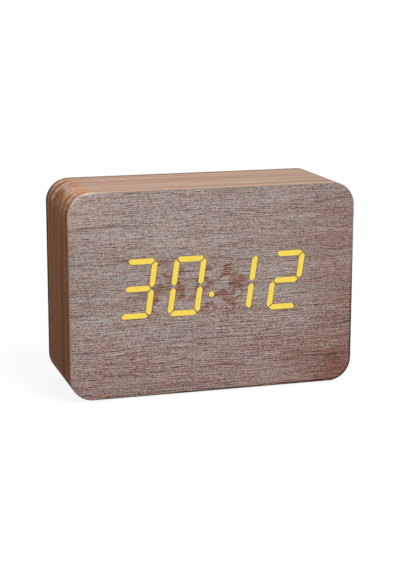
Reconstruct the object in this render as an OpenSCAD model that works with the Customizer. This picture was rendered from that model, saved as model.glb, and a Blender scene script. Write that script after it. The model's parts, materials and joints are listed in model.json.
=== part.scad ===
// Radio-controlled alarm clock in a veneered block, with its controls, battery bay and
// power inlet on the back.
// X runs to the right as seen from the front, Y from the front to the back, Z up.
// The origin is the middle of the footprint, on the surface that the feet stand on.

/* [Block] */
// Width of the block
body_w = 150; // [144:1:200]
// Height of the block without its feet
body_h = 105; // [102:1:150]
// Depth of the block from front face to back rim
body_d = 55; // [52:1:90]
// Radius of the four long corners
corner_r = 12; // [9:0.5:16]
// Thickness of the veneer on the sides and on the back rim
veneer_t = 0.6; // [0.4:0.1:0.8]
// Thickness of the pierced veneer on the front
face_t = 0.8; // [0.6:0.1:1.2]
// Thickness of the core's side walls
side_wall = 9.4; // [8:0.2:11]
// Thickness of the core's front wall
front_wall = 4; // [3.6:0.2:6]
// Side of the square screw posts in the cavity's corners
post_side = 12; // [10:0.5:14]

/* [Feet] */
// Diameter of a foot
foot_d = 10; // [6:0.5:14]
// Thickness of a foot
foot_t = 1.6; // [1.3:0.1:2.4]
// How far a foot stands out of the block
foot_proud = 0.8; // [0.4:0.1:1]
// Distance from a foot to the start of the corner's curve
foot_side_gap = 1; // [0.5:0.5:20]
// Distance from a foot to the front or the back of the block
foot_end_gap = 7; // [3:0.5:12]

/* [Display] */
// The four digits shown
digits_shown = "3012"; // [3012:Date, 0630:Morning, 1845:Evening, 2359:Night]
// Overall width of a digit before it leans
digit_w = 17; // [14:0.5:18]
// Overall height of a digit
digit_h = 30.6; // [26:0.2:34]
// Width of a segment
segment_w = 3; // [2.2:0.1:3.4]
// Gap between neighbouring segments
segment_gap = 0.45; // [0.4:0.05:0.7]
// How far the digits' outer corners are cut back
corner_cut = 2.7; // [1:0.1:3]
// Lean of the digits to the right, in degrees
slant = 8; // [0:1:12]
// Distance between the digits of a pair
digit_pitch = 25.4; // [24:0.2:26]
// Distance between the digits on either side of the dots
colon_pitch = 27.2; // [26:0.2:29]
// Diameter of a dot
dot_d = 3; // [2.4:0.1:3.6]
// Height of each dot above or below the digits' middle
dot_rise = 5.1; // [4:0.1:8]
// Place of the display's middle to the right of the block's middle
display_x = -0.8; // [-2:0.1:2]
// Place of the display's middle above the block's middle
display_z = 3.3; // [0:0.1:5]
// Gap round each wafer in its window
window_fit = 0.05; // [0.04:0.01:0.1]
// Thickness of the diffuser film
film_t = 0.3; // [0.2:0.1:0.5]
// Border of the light box round the digits
nose_margin = 3; // [2.5:0.1:4]
// Gap round the light box in the front wall's opening
nose_fit = 0.3; // [0.2:0.1:0.5]
// Width of the light box's flange behind the front wall
flange_w = 5.5; // [5:0.1:6]
// Thickness of the flange
flange_t = 3.2; // [2.4:0.1:4]
// Thickness of the display board and the key board
board_t = 1.6; // [1:0.1:2]

/* [Back cover] */
// Thickness of the cover
cover_t = 2.6; // [2.4:0.1:3.4]
// How far the cover laps over the cavity's edge
cover_lap = 3; // [2:0.1:4]
// Gap round the cover in its rebate
cover_fit = 0.25; // [0.1:0.05:0.4]
// Corner radius of the cover's rebate
cover_r = 6; // [3:0.5:8]
// Shank diameter of a cover screw
cover_screw_d = 3; // [2.5:0.1:3.5]
// Length of a cover screw under its head
cover_screw_l = 14; // [10:1:20]

/* [Battery bay] */
// Diameter of a cell
cell_d = 10.5; // [10:0.1:12]
// Length of a cell with its button
cell_l = 44.5; // [42:0.5:47]
// Gap between neighbouring cells
cell_gap = 0.6; // [0.4:0.1:1]
// Gap from a cell to the tray's floor and to the door
cell_fit = 0.3; // [0.2:0.1:0.6]
// Room for a spring at a cell's flat end
spring_room = 3.6; // [3.2:0.1:4]
// Room for a contact plate at a cell's button end
plate_room = 1; // [0.8:0.1:1.4]
// Thickness of the contact metal
contact_t = 0.4; // [0.3:0.05:0.5]
// Wall of the battery tray
tray_wall = 1.5; // [1.2:0.1:1.8]
// Thickness of the battery door
door_t = 1.6; // [1.4:0.1:1.8]
// How far the door laps over the tray's walls
door_lap = 1.5; // [1.2:0.1:1.8]
// Gap round the door in its recess
door_fit = 0.2; // [0.15:0.05:0.35]
// Length of the two hinge tabs on the door's lower edge
tab_l = 1.6; // [1.2:0.1:1.8]
// Place of the bay's middle to the right of the block's middle
bay_x = 22; // [18:0.5:24]
// Place of the bay's middle above the block's middle
bay_z = -13; // [-16:0.5:-10]

/* [Buttons] */
// Diameter of a button
button_d = 7; // [5:0.5:8]
// How far a button stands out of the cover
button_proud = 0.5; // [0.3:0.1:0.5]
// How far a button travels
button_travel = 0.5; // [0.3:0.1:0.6]
// Gap round a button in its hole
button_fit = 0.25; // [0.15:0.05:0.4]
// Distance between neighbouring buttons
button_pitch = 13; // [11:0.5:14]
// Place of the row's middle to the right of the block's middle
row_x = 6; // [4:0.5:8]
// Place of the row above the block's middle
row_z = 25; // [22:0.5:27]
// Side of a switch body
switch_side = 6; // [5:0.5:7]
// Height of a switch body
switch_h = 3.4; // [3:0.1:4]
// Diameter of a switch plunger
plunger_d = 3.4; // [2.6:0.1:3.8]
// How far a plunger stands out of its switch body
plunger_h = 1.6; // [1:0.1:2]
// Height of the key board
key_board_h = 16; // [14:0.5:18]
// Distance from a key board screw to the board's end
board_end = 4; // [3.5:0.5:6]

/* [Slide switch] */
// Place of the slide switch to the right of the block's middle
slide_x = -36; // [-37:0.5:-32]
// How far the knob slides
slide_travel = 2.5; // [1.5:0.1:3]
// Width of the knob
knob_w = 2.8; // [2:0.1:3.2]

/* [Power inlet] */
// Place of the inlet to the right of the block's middle
jack_x = -40; // [-43:0.5:-36]
// Place of the inlet above the block's middle
jack_z = -28; // [-30:0.5:-26]
// Bore of the inlet
jack_bore_d = 6.2; // [5.6:0.1:6.4]
// Wall of the inlet's barrel
jack_wall = 0.9; // [0.7:0.1:1.2]
// Depth of the bore
jack_depth = 9.5; // [8:0.5:11]
// Diameter of the centre pin
pin_d = 2; // [1.3:0.1:2.5]
// How far the pin's tip lies inside the mouth
pin_recess = 0.8; // [0.5:0.1:2]

/* [Buzzer] */
// Place of the buzzer to the right of the block's middle
buzzer_x = -28; // [-32:0.5:-24]
// Place of the buzzer above the block's middle
buzzer_z = -3; // [-5:0.5:0]
// Diameter of the buzzer's brass disc
buzzer_d = 20; // [18:0.5:22]
// Diameter of a sound hole
sound_d = 1.4; // [1:0.1:1.6]

/* [Receiver] */
// Diameter of the ferrite rod
rod_d = 8; // [6:0.5:10]
// Length of the ferrite rod
rod_l = 70; // [60:1:72]
// Height of the rod's middle above the cavity's floor
rod_rise = 9; // [8:0.5:12]
// Length of the antenna coil
coil_l = 24; // [16:1:30]
// Thickness of the antenna coil's winding
coil_t = 1.2; // [0.8:0.1:2]
// Distance between the two saddles that hold the rod
saddle_pitch = 52; // [46:1:56]

/* [Hidden] */
$fn = 64;

BUTTONS = ["set", "alarm", "up", "down", "wave"];
CELLS = [for (i = [1:3]) i];
SEGMENTS = "abcdefg";
GLYPHS = ["abcdef", "bc", "abdeg", "abcdg", "bcfg", "acdfg", "acdefg", "abc", "abcdefg", "abcdfg"];

// How far a cut runs past the face that it opens
past = 1;

// Layers from front to back
front_y = -body_d / 2;
rear_y = body_d / 2;
core_front_y = front_y + face_t;
core_rear_y = rear_y - veneer_t;
cavity_y = core_front_y + front_wall;
film_back_y = core_front_y + film_t;
display_board_y = cavity_y + flange_t;
display_back_y = display_board_y + board_t;
cover_in_y = core_rear_y - cover_t;

// The block
mid_z = foot_proud + body_h / 2;
core_w = body_w - 2 * veneer_t;
core_h = body_h - 2 * veneer_t;
cavity_w = core_w - 2 * side_wall;
cavity_h = core_h - 2 * side_wall;
cavity_floor_z = -cavity_h / 2;
rebate_w = cavity_w + 2 * cover_lap;
rebate_h = cavity_h + 2 * cover_lap;
foot_x = body_w / 2 - corner_r - foot_side_gap - foot_d / 2;
foot_y = body_d / 2 - foot_end_gap - foot_d / 2;
foot_fit = 0.1;

// The display
digit_x = [
    -colon_pitch / 2 - digit_pitch,
    -colon_pitch / 2,
    colon_pitch / 2,
    colon_pitch / 2 + digit_pitch
];
lean = tan(slant);
digits_w = colon_pitch + 2 * digit_pitch + digit_w + digit_h * lean;
nose_w = digits_w + 2 * nose_margin;
nose_h = digit_h + 2 * nose_margin;
nose_r = 2;
display_board_w = nose_w + 2 * flange_w;
display_board_h = nose_h + 2 * flange_w;
led_size = [1.6, 0.7, 0.8];
display_screw_d = 2.2;
display_screw_in = flange_w / 2;
display_screw_skin = 1.2;
display_screw_grip = front_wall - display_screw_skin;
display_screw_head_t = 1.4;
display_screw_at = [
    for (sx = [-1, 1], sz = [-1, 1])
        [display_x + sx * (display_board_w / 2 - display_screw_in),
         display_z + sz * (display_board_h / 2 - display_screw_in)]
];
pilot_fit = 0.05;
pilot_spare = 0.6;
// Room round the display and behind its screws, also where the cavity is too narrow for it
display_room = 0.5;

// The parts on the back of the display board, placed from the display's middle
chip_h = 7.5;
chip_t = 2.3;
leg_size = [0.4, 0.3, 1.2];
leg_pitch = 1.27;
controller_w = 18;
controller_at = [-24, 4];
driver_w = 13;
driver_at = [[-6, -12], [22, -12]];
crystal_d = 3;
crystal_l = 8;
crystal_at = [-34, -8];
capacitor_d = 6;
capacitor_l = 8;
capacitor_at = [[38, 6], [46, 6]];

// The back cover and its screws
cover_screw_at = [
    for (sx = [-1, 1], sz = [-1, 1])
        [sx * (cavity_w - post_side) / 2, sz * (cavity_h - post_side) / 2]
];
cover_screw_head_d = 2 * cover_screw_d;
cover_screw_head_t = 1.6;
cover_screw_sink = 1.3;
screw_hole_fit = 0.2;

// The battery bay
bay_w = cell_l + spring_room + plate_room;
bay_h = len(CELLS) * (cell_d + cell_gap);
door_w = bay_w + 2 * door_lap;
door_h = bay_h + 2 * door_lap;
door_in_y = core_rear_y - door_t;
door_low_z = bay_z - door_h / 2;
cell_y = door_in_y - cell_fit - cell_d / 2;
tray_floor_y = cell_y - cell_d / 2 - cell_fit;
tray_back_y = tray_floor_y - tray_wall;
contact_w = 7;
tail_w = 3;
tail_l = 2.5;
tail_fit = 0.1;
tab_w = 6;
tab_t = door_t / 2;
tab_fit = 0.25;
door_open = 60;
tab_swing = door_t * tan(door_open / 2) + tab_fit;
tab_pitch = door_w / 2;
finger_d = 12;
button_end_d = 0.36 * cell_d;
button_end_l = 1;
spring_fit = 0.3;
tongue_w = 11;
slit_w = 0.8;
slit_l = 8;
ridge_w = 8;
ridge_h = 0.7;
ridge_t = 0.3;
ridge_pitch = 1.6;
ridge_in = 2;

// The buttons, their switches and the key board
collar_w = 1.2;
collar_t = 0.8;
post_l = 1.2;
plunger_top_y = cover_in_y - collar_t - post_l;
switch_top_y = plunger_top_y - plunger_h;
key_face_y = switch_top_y - switch_h;
key_back_y = key_face_y - board_t;
plunger_root = 1.2;
plunger_fit = 0.1;
button_x = [for (i = [0:len(BUTTONS) - 1]) row_x + ((len(BUTTONS) - 1) / 2 - i) * button_pitch];
slide_w = 9;
slide_h = 4.7;
slide_z_size = 5;
knob_z_size = 2.4;
knob_root = 1;
knob_fit = 0.15;
knob_slot_fit = 0.4;
knob_proud = 0.3;
slide_top_y = key_face_y + slide_h;
key_screw_d = 2;
key_screw_grip = 5;
key_screw_head_t = 1.2;
boss_d = 6;
boss_gap = 1;
left_screw_x = slide_x - slide_w / 2 - boss_gap - boss_d / 2;
right_screw_x = max(button_x) + max(button_d / 2 + collar_w, switch_side / 2) + boss_gap + boss_d / 2;
key_screw_at = [[left_screw_x, row_z], [right_screw_x, row_z]];
key_board_left = left_screw_x - board_end;
key_board_right = right_screw_x + board_end;

// The power inlet
jack_d = jack_bore_d + 2 * jack_wall;
jack_flange_w = 1.5;
jack_flange_d = jack_d + 2 * jack_flange_w;
jack_flange_t = 0.5;
jack_mouth_y = core_rear_y + jack_flange_t;
jack_floor_y = jack_mouth_y - jack_depth;
jack_floor_t = 2;
jack_end_y = jack_floor_y - jack_floor_t;
jack_fit = 0.15;
nut_wall = 1.5;
nut_flats = jack_d + 2 * nut_wall;
nut_t = 2;
nut_fit = 0.05;
lug_pitch = 4;
lug_l = 4;
lug_w = 2.2;

// The buzzer
buzzer_lip = 2;
buzzer_room = 2;
buzzer_t = 0.3;
ceramic_d = 0.7 * buzzer_d;
ceramic_t = 0.3;
buzzer_seat_y = cover_in_y - buzzer_room;
sound_pitch = (buzzer_d / 2 - buzzer_lip - sound_d) / 2;

// The receiver
rod_z = cavity_floor_z + rod_rise;
rod_fit = 0.1;
saddle_t = 5;
saddle_wall = 3;
saddle_w = rod_d + 2 * saddle_wall;
saddle_h = rod_rise + rod_d / 2 + saddle_wall;
receiver_w = 13;
receiver_l = 22;
receiver_t = 1;
receiver_gap = 2.5;
receiver_x = cavity_w / 2 - post_side - receiver_gap - receiver_w / 2;
receiver_chip_size = [5, 6, 1.5];

// The ribbon cable and its sockets
socket_w = 16;
socket_t = 6;
socket_h = 5;
ribbon_w = 12.7;
ribbon_t = 0.9;
ribbon_x = 4;
ribbon_rise = 14;
ribbon_low_z = display_z + ribbon_rise;
ribbon_steps = 12;

// The hook-up leads: diameter, sides and rings of each tube
lead_d = 1.2;
fine_lead_d = 0.7;
lead_sides = 8;
lead_rings = 10;
// How far a lead keeps straight on at its start and at the key board
lead_out = 12;
lead_in = 14;
// Where the leads meet the key board, below the row of switches
solder_rise = 2.5;
solder_z = row_z - key_board_h / 2 + solder_rise;
// How far to the side of its start, or of the bay's middle, each lead meets the key board
battery_lead_shift = 3;
jack_lead_shift = 8;
buzzer_lead_shift = 6;
receiver_lead_shift = -6;
// The receiver's leads and the antenna's leads on the receiver board
receiver_lead_pitch = 2.5;
receiver_lead_y = -9;
receiver_lead_out = 24;
antenna_lead_pitch = 4;
antenna_lead_y = -5;
antenna_lead_out = 10;
antenna_lead_in = 30;

// Colours
veneer_front = "#998a80";
veneer_side = "#75523b";
fibreboard = "#8c6e4f";
black_plastic = "#121214";
grey_plastic = "#333338";
display_yellow = "#fad438";
film_white = "#ebebe0";
shade_white = "#e6e6e0";
board_green = "#0d4d29";
screw_steel = "#9ea1a6";
contact_steel = "#bfbdb3";
brass = "#cc9e47";
ferrite_grey = "#2b2929";
copper = "#b8612e";
lead_red = "#b22222";
cell_wrap = "#5b6f86";

// A plate in the XZ plane that starts at depth y and is t thick
module slab(y, t) {
    translate([0, y + t, mid_z])
        rotate([90, 0, 0])
            linear_extrude(t)
                children();
}

// A round bar along Y at place p, from depth y0 to depth y1
module bar(p, d, y0, y1) {
    translate([p[0], y1, mid_z + p[1]])
        rotate([90, 0, 0])
            cylinder(d = d, h = y1 - y0);
}

// A rectangle with rounded corners round the middle
module rounded(w, h, r) {
    square([w - 2 * r, h], center = true);
    square([w, h - 2 * r], center = true);
    for (sx = [-1, 1], sz = [-1, 1])
        translate([sx * (w / 2 - r), sz * (h / 2 - r)])
            circle(r = r);
}

// A block of size s that stands on depth y, centred on place p
module chip(p, s, y) {
    translate([p[0] - s[0] / 2, y, mid_z + p[1] - s[2] / 2])
        cube(s);
}

// A pan-head screw along Y: seat of the head at depth y, shank to the front
module screw(p, y, shank_d, shank_l, head_d, head_t) {
    recess_w = 0.18 * head_d;
    recess_l = 0.6 * head_d;
    difference() {
        union() {
            bar(p, head_d, y, y + head_t);
            bar(p, shank_d, y - shank_l, y);
        }
        for (s = [[recess_w, recess_l], [recess_l, recess_w]])
            chip(p, [s[0], head_t, s[1]], y + head_t / 2);
    }
}

// A point on a curve that leaves a along u and comes into b against v
function curve_point(a, u, b, v, t) =
    pow(1 - t, 3) * a + 3 * pow(1 - t, 2) * t * (a + u) + 3 * (1 - t) * t * t * (b + v) + t * t * t * b;

function unit(v) = v / norm(v);

// The direction of travel at ring i of a path
function heading(path, i, u, v) =
    i == 0 ? unit(u) : i == len(path) - 1 ? unit(-v) : unit(path[i + 1] - path[i - 1]);

// A hook-up lead from a to b that leaves along u and arrives against v
module lead(a, u, b, v, d) {
    path = [for (i = [0:lead_rings - 1]) curve_point(a, u, b, v, i / (lead_rings - 1))];
    side_way = [1, 0, 0.02];
    points = [
        for (i = [0:lead_rings - 1])
            let (h = heading(path, i, u, v), p = unit(cross(h, side_way)), q = cross(h, p))
                for (k = [0:lead_sides - 1])
                    let (turn = 360 * k / lead_sides)
                        path[i] + d / 2 * (cos(turn) * p + sin(turn) * q)
    ];
    last = (lead_rings - 1) * lead_sides;
    faces = concat(
        [[for (k = [0:lead_sides - 1]) k]],
        [for (i = [0:lead_rings - 2], k = [0:lead_sides - 1])
            let (a0 = i * lead_sides + k, b0 = i * lead_sides + (k + 1) % lead_sides)
                [b0, a0, a0 + lead_sides]],
        [for (i = [0:lead_rings - 2], k = [0:lead_sides - 1])
            let (a0 = i * lead_sides + k, b0 = i * lead_sides + (k + 1) % lead_sides)
                [b0, a0 + lead_sides, b0 + lead_sides]],
        [[for (k = [lead_sides - 1:-1:0]) last + k]]
    );
    translate([0, 0, mid_z])
        polyhedron(points, faces);
}

// Whether segment s is one of those named by the letters
function is_one(s, letters) = len(search(SEGMENTS[s], letters)) > 0;

// Which outline a segment has, and the sides that it is mirrored to
function segment_kind(s) = is_one(s, "ad") ? "top" : is_one(s, "g") ? "middle" : "right";
function segment_side(s) = [is_one(s, "ef") ? -1 : 1, is_one(s, "cde") ? -1 : 1];

// The outline of a top, an upper right or a middle segment, drawn in by the given amount
function segment_shape(kind, inset) =
    let (
        w = segment_w - 2 * inset,
        x = digit_w / 2 - inset,
        z = digit_h / 2 - inset,
        e = segment_gap / sqrt(2) + inset * sqrt(2),
        c = corner_cut - inset * (2 - sqrt(2))
    )
    kind == "top" ? [
        [c - x, z], [x - c, z], [x - (c + e) / 2, z - (c - e) / 2],
        [x - w - e, z - w], [w + e - x, z - w], [(c + e) / 2 - x, z - (c - e) / 2]
    ] : kind == "right" ? [
        [x, z - c], [x - (c - e) / 2, z - (c + e) / 2], [x - w, z - w - e],
        [x - w, e + w / 2], [x - w / 2, e], [x, e + w / 2]
    ] : [
        [w / 2 + e - x, 0], [w + e - x, w / 2], [x - w - e, w / 2],
        [x - w / 2 - e, 0], [x - w - e, -w / 2], [w + e - x, -w / 2]
    ];

// A point of a digit, leaned over
function leaned(p) = [p[0] + p[1] * lean, p[1]];

// Segment s of digit d as a flat shape, drawn in by the given amount
module segment(d, s, inset) {
    side = segment_side(s);
    outline = segment_shape(segment_kind(s), inset);
    translate([display_x + digit_x[d], display_z])
        polygon([for (p = outline) leaned([side[0] * p[0], side[1] * p[1]])]);
}

// The dot above (up = 1) or below (up = -1) the digits' middle
module dot(up, inset) {
    translate([display_x, display_z] + leaned([0, up * dot_rise]))
        circle(d = dot_d - 2 * inset);
}

// All the windows and wells of the display as flat shapes
module windows() {
    for (d = [0:3], s = [0:6])
        segment(d, s, 0);
    for (up = [-1, 1])
        dot(up, 0);
}

// Whether segment s of digit d belongs to the figure that the digit shows
function is_lit(d, s) = is_one(s, GLYPHS[ord(digits_shown[d]) - ord("0")]);

// The wafers that are lit, or those that are not
module wafers(lit) {
    for (d = [0:3], s = [0:6])
        if (is_lit(d, s) == lit)
            slab(front_y, face_t)
                segment(d, s, window_fit);
    slab(front_y, face_t)
        dot(lit ? -1 : 1, window_fit);
}

// The middle of segment s before it leans, and the way that it runs
function segment_middle(s) =
    let (
        kind = segment_kind(s),
        side = segment_side(s),
        x = (digit_w - segment_w) / 2,
        z = (digit_h - segment_w) / 2
    )
    kind == "top" ? [0, side[1] * z] : kind == "right" ? [side[0] * x, side[1] * z / 2] : [0, 0];
function segment_run(s) = segment_kind(s) == "right" ? [0, digit_h / 2] : [digit_w, 0];

// The recesses of the feet, each grown by the given amount
module foot_pads(grow, z0, z1) {
    for (sx = [-1, 1], sy = [-1, 1])
        translate([sx * foot_x, sy * foot_y, z0])
            cylinder(d = foot_d + 2 * grow, h = z1 - z0);
}

// The cavity, with a screw post left in each corner
module cavity_outline() {
    square([cavity_w, cavity_h - 2 * post_side], center = true);
    square([cavity_w - 2 * post_side, cavity_h], center = true);
}

module core_block() {
    color(fibreboard)
        difference() {
            slab(core_front_y, core_rear_y - core_front_y)
                rounded(core_w, core_h, corner_r - veneer_t);
            slab(cavity_y, core_rear_y - cavity_y + past)
                cavity_outline();
            slab(cavity_y, display_back_y + display_screw_head_t + display_room - cavity_y)
                translate([display_x, display_z])
                    square([display_board_w + 2 * display_room, display_board_h + 2 * display_room],
                           center = true);
            slab(cover_in_y, cover_t + past)
                rounded(rebate_w, rebate_h, cover_r);
            slab(core_front_y - past, front_wall + 2 * past)
                translate([display_x, display_z])
                    rounded(nose_w + 2 * nose_fit, nose_h + 2 * nose_fit, nose_r + nose_fit);
            for (p = cover_screw_at)
                bar(p, cover_screw_d + 2 * pilot_fit,
                    core_rear_y - cover_screw_sink - cover_screw_l - pilot_spare, core_rear_y);
            for (p = display_screw_at)
                bar(p, display_screw_d + 2 * pilot_fit,
                    cavity_y - display_screw_grip - pilot_spare, cavity_y + past);
            foot_pads(foot_fit, 0, foot_t);
        }
}

module side_veneer() {
    color(veneer_side)
        difference() {
            slab(core_front_y, core_rear_y - core_front_y)
                difference() {
                    rounded(body_w, body_h, corner_r);
                    rounded(core_w, core_h, corner_r - veneer_t);
                }
            foot_pads(foot_fit, 0, foot_t);
        }
}

module front_veneer() {
    color(veneer_front)
        slab(front_y, face_t)
            difference() {
                rounded(body_w, body_h, corner_r);
                windows();
            }
}

module rear_veneer() {
    color(veneer_side)
        slab(core_rear_y, veneer_t)
            difference() {
                rounded(body_w, body_h, corner_r);
                rounded(rebate_w, rebate_h, cover_r);
            }
}

module rubber_feet() {
    color(black_plastic)
        foot_pads(0, 0, foot_t);
}

module lit_segments() {
    color(display_yellow)
        wafers(true);
}

module dark_segments() {
    color(veneer_front)
        wafers(false);
}

module diffuser_film() {
    color(film_white)
        slab(core_front_y, film_t)
            translate([display_x, display_z])
                rounded(nose_w, nose_h, nose_r);
}

module light_box() {
    color(shade_white)
        difference() {
            union() {
                slab(film_back_y, cavity_y - film_back_y)
                    difference() {
                        translate([display_x, display_z])
                            rounded(nose_w, nose_h, nose_r);
                        windows();
                    }
                slab(cavity_y, flange_t)
                    difference() {
                        translate([display_x, display_z])
                            rounded(display_board_w, display_board_h, nose_r);
                        windows();
                    }
            }
            for (p = display_screw_at)
                bar(p, display_screw_d + 2 * screw_hole_fit, cavity_y - past, display_board_y + past);
        }
}

module display_board() {
    color(board_green)
        difference() {
            slab(display_board_y, board_t)
                translate([display_x, display_z])
                    rounded(display_board_w, display_board_h, nose_r);
            for (p = display_screw_at)
                bar(p, display_screw_d + 2 * screw_hole_fit, display_board_y - past, display_back_y + past);
        }
}

module segment_leds() {
    led_y = display_board_y - led_size[1];
    color(display_yellow) {
        for (d = [0:3], s = [0:6], part_way = [-1, 1] / 6) {
            place = leaned(segment_middle(s) + part_way * segment_run(s));
            chip([display_x + digit_x[d] + place[0], display_z + place[1]], led_size, led_y);
        }
        for (up = [-1, 1])
            chip([display_x, display_z] + leaned([0, up * dot_rise]), led_size, led_y);
    }
}

module display_screws() {
    color(screw_steel)
        for (p = display_screw_at)
            screw(p, display_back_y, display_screw_d, flange_t + board_t + display_screw_grip,
                  2 * display_screw_d, display_screw_head_t);
}

// A chip at place p on the back of the display board, with a row of legs along both long sides
module legged_chip(p, w) {
    legs = floor(w / leg_pitch);
    middle = [display_x, display_z] + p;
    chip(middle, [w, chip_t, chip_h], display_back_y);
    for (i = [0:legs - 1])
        chip(middle + [(i - (legs - 1) / 2) * leg_pitch, 0],
             [leg_size[0], leg_size[1], chip_h + 2 * leg_size[2]], display_back_y);
}

module controller_chip() {
    color(grey_plastic)
        legged_chip(controller_at, controller_w);
}

module driver_chips() {
    color(grey_plastic)
        for (p = driver_at)
            legged_chip(p, driver_w);
}

module clock_crystal() {
    color(screw_steel)
        translate([display_x + crystal_at[0] - crystal_l / 2, display_back_y + crystal_d / 2,
                   mid_z + display_z + crystal_at[1]])
            rotate([0, 90, 0])
                cylinder(d = crystal_d, h = crystal_l);
}

module filter_capacitors() {
    color(grey_plastic)
        for (p = capacitor_at)
            bar([display_x, display_z] + p, capacitor_d, display_back_y, display_back_y + capacitor_l);
}

module ribbon_sockets() {
    color(grey_plastic) {
        chip([ribbon_x, ribbon_low_z], [socket_w, socket_h, socket_t], display_back_y);
        chip([ribbon_x, row_z], [socket_w, socket_h, socket_t], key_back_y - socket_h);
    }
}

module ribbon_cable() {
    start = [display_back_y + socket_h, ribbon_low_z];
    end = [key_back_y - socket_h, row_z];
    reach = [(end[0] - start[0]) / 2, 0];
    path = [for (i = [0:ribbon_steps]) curve_point(start, reach, end, -reach, i / ribbon_steps)];
    across = [
        for (i = [0:ribbon_steps])
            let (h = heading(path, i, reach, -reach)) ribbon_t / 2 * [-h[1], h[0]]
    ];
    color(shade_white)
        translate([ribbon_x - ribbon_w / 2, 0, mid_z])
            rotate([90, 0, 90])
                linear_extrude(ribbon_w)
                    polygon(concat(
                        [for (i = [0:ribbon_steps]) path[i] + across[i]],
                        [for (i = [ribbon_steps:-1:0]) path[i] - across[i]]
                    ));
}

// The place and the way of cell i: its button end points to +X or to -X
function cell_way(i) = i % 2 == 1 ? 1 : -1;
function cell_place(i) =
    [bay_x + cell_way(i) * (spring_room - plate_room) / 2,
     bay_z + (i - (len(CELLS) + 1) / 2) * (cell_d + cell_gap)];

// The middle of a contact at the given end of the bay, at the height of cell i
function contact_place(i, end) = [bay_x + end * (bay_w - contact_t) / 2, cell_place(i)[1]];

// The place of the contact with a tail through the tray's floor, at each end of the bay
function tail_place(end) = contact_place(end < 0 ? len(CELLS) : 1, end);

// The contact tail at that end, from behind the tray up to depth y, grown by the given amount
module tail(end, y, grow) {
    low_y = tray_back_y - tail_l;
    chip(tail_place(end), [contact_t + 2 * grow, y - low_y, tail_w + 2 * grow], low_y);
}

// What is cut out of the cover for the battery door
module door_recess() {
    slab(door_in_y, door_t + past)
        translate([bay_x, bay_z])
            square([door_w + 2 * door_fit, door_h + 2 * door_fit], center = true);
    slab(tray_floor_y, door_in_y - tray_floor_y + past)
        translate([bay_x, bay_z])
            square([bay_w, bay_h], center = true);
    for (side = [-1, 1])
        chip([bay_x + side * tab_pitch / 2, door_low_z + (tab_swing - tab_l - tab_fit) / 2],
             [tab_w + 2 * tab_fit, cover_t - door_t + tab_t + tab_fit, tab_l + tab_fit + tab_swing],
             cover_in_y);
    bar([bay_x, bay_z + door_h / 2], finger_d, door_in_y, core_rear_y + past);
}

module back_cover() {
    color(black_plastic)
        difference() {
            union() {
                slab(cover_in_y, cover_t)
                    rounded(rebate_w - 2 * cover_fit, rebate_h - 2 * cover_fit, cover_r - cover_fit);
                slab(tray_back_y, door_in_y - tray_back_y)
                    translate([bay_x, bay_z])
                        square([bay_w + 2 * tray_wall, bay_h + 2 * tray_wall], center = true);
                for (p = key_screw_at)
                    bar(p, boss_d, key_face_y, cover_in_y + past);
                bar([buzzer_x, buzzer_z], buzzer_d, buzzer_seat_y, cover_in_y + past);
            }
            door_recess();
            for (end = [-1, 1])
                tail(end, tray_floor_y, tail_fit);
            for (p = cover_screw_at) {
                bar(p, cover_screw_d + 2 * screw_hole_fit, cover_in_y - past, core_rear_y);
                bar(p, cover_screw_head_d + 2 * screw_hole_fit, core_rear_y - cover_screw_sink,
                    core_rear_y + past);
            }
            for (p = key_screw_at)
                bar(p, key_screw_d + 2 * pilot_fit, key_face_y - past,
                    key_face_y + key_screw_grip + pilot_spare);
            for (x = button_x)
                bar([x, row_z], button_d + 2 * button_fit, cover_in_y - past, core_rear_y + past);
            chip([slide_x, row_z],
                 [knob_w + slide_travel + 2 * knob_slot_fit, cover_t + 2 * past,
                  knob_z_size + 2 * knob_slot_fit],
                 cover_in_y - past);
            bar([jack_x, jack_z], jack_d + 2 * jack_fit, cover_in_y - past, core_rear_y + past);
            bar([buzzer_x, buzzer_z], buzzer_d - 2 * buzzer_lip, buzzer_seat_y - past, cover_in_y);
            for (ring = [0, 1, 2], k = [0:max(6 * ring, 1) - 1]) {
                turn = 60 * k / max(ring, 1);
                spot = ring * sound_pitch * [cos(turn), sin(turn)];
                bar([buzzer_x, buzzer_z] + spot, sound_d, cover_in_y - past, core_rear_y + past);
            }
        }
}

module cover_screws() {
    color(screw_steel)
        for (p = cover_screw_at)
            screw(p, core_rear_y - cover_screw_sink, cover_screw_d, cover_screw_l,
                  cover_screw_head_d, cover_screw_head_t);
}

module battery_door() {
    color(black_plastic)
        difference() {
            union() {
                chip([bay_x, bay_z], [door_w, door_t, door_h], door_in_y);
                for (side = [-1, 1])
                    chip([bay_x + side * tab_pitch / 2, door_low_z - tab_l / 2 + past / 2],
                         [tab_w, tab_t, tab_l + past], door_in_y);
                for (i = [0:2])
                    chip([bay_x, bay_z + door_h / 2 - ridge_in - i * ridge_pitch],
                         [ridge_w, 2 * ridge_t, ridge_h], core_rear_y - ridge_t);
            }
            for (side = [-1, 1])
                chip([bay_x + side * (tongue_w + slit_w) / 2, bay_z + (door_h - slit_l) / 2 + past / 2],
                     [slit_w, door_t + 2 * past, slit_l + past], door_in_y - past);
        }
}

// Cell i along X, with its button at the end that it points to
module battery(i) {
    p = cell_place(i);
    way = cell_way(i);
    color(cell_wrap)
        translate([p[0], cell_y, mid_z + p[1]])
            rotate([0, way * 90, 0])
                translate([0, 0, -cell_l / 2])
                    union() {
                        cylinder(d = cell_d, h = cell_l - button_end_l);
                        cylinder(d = button_end_d, h = cell_l);
                    }
}

// A contact strip against the wall at the given end of cell i
module contact_strip(i, end) {
    chip(contact_place(i, end), [contact_t, contact_w, contact_w], cell_y - contact_w / 2);
}

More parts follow.
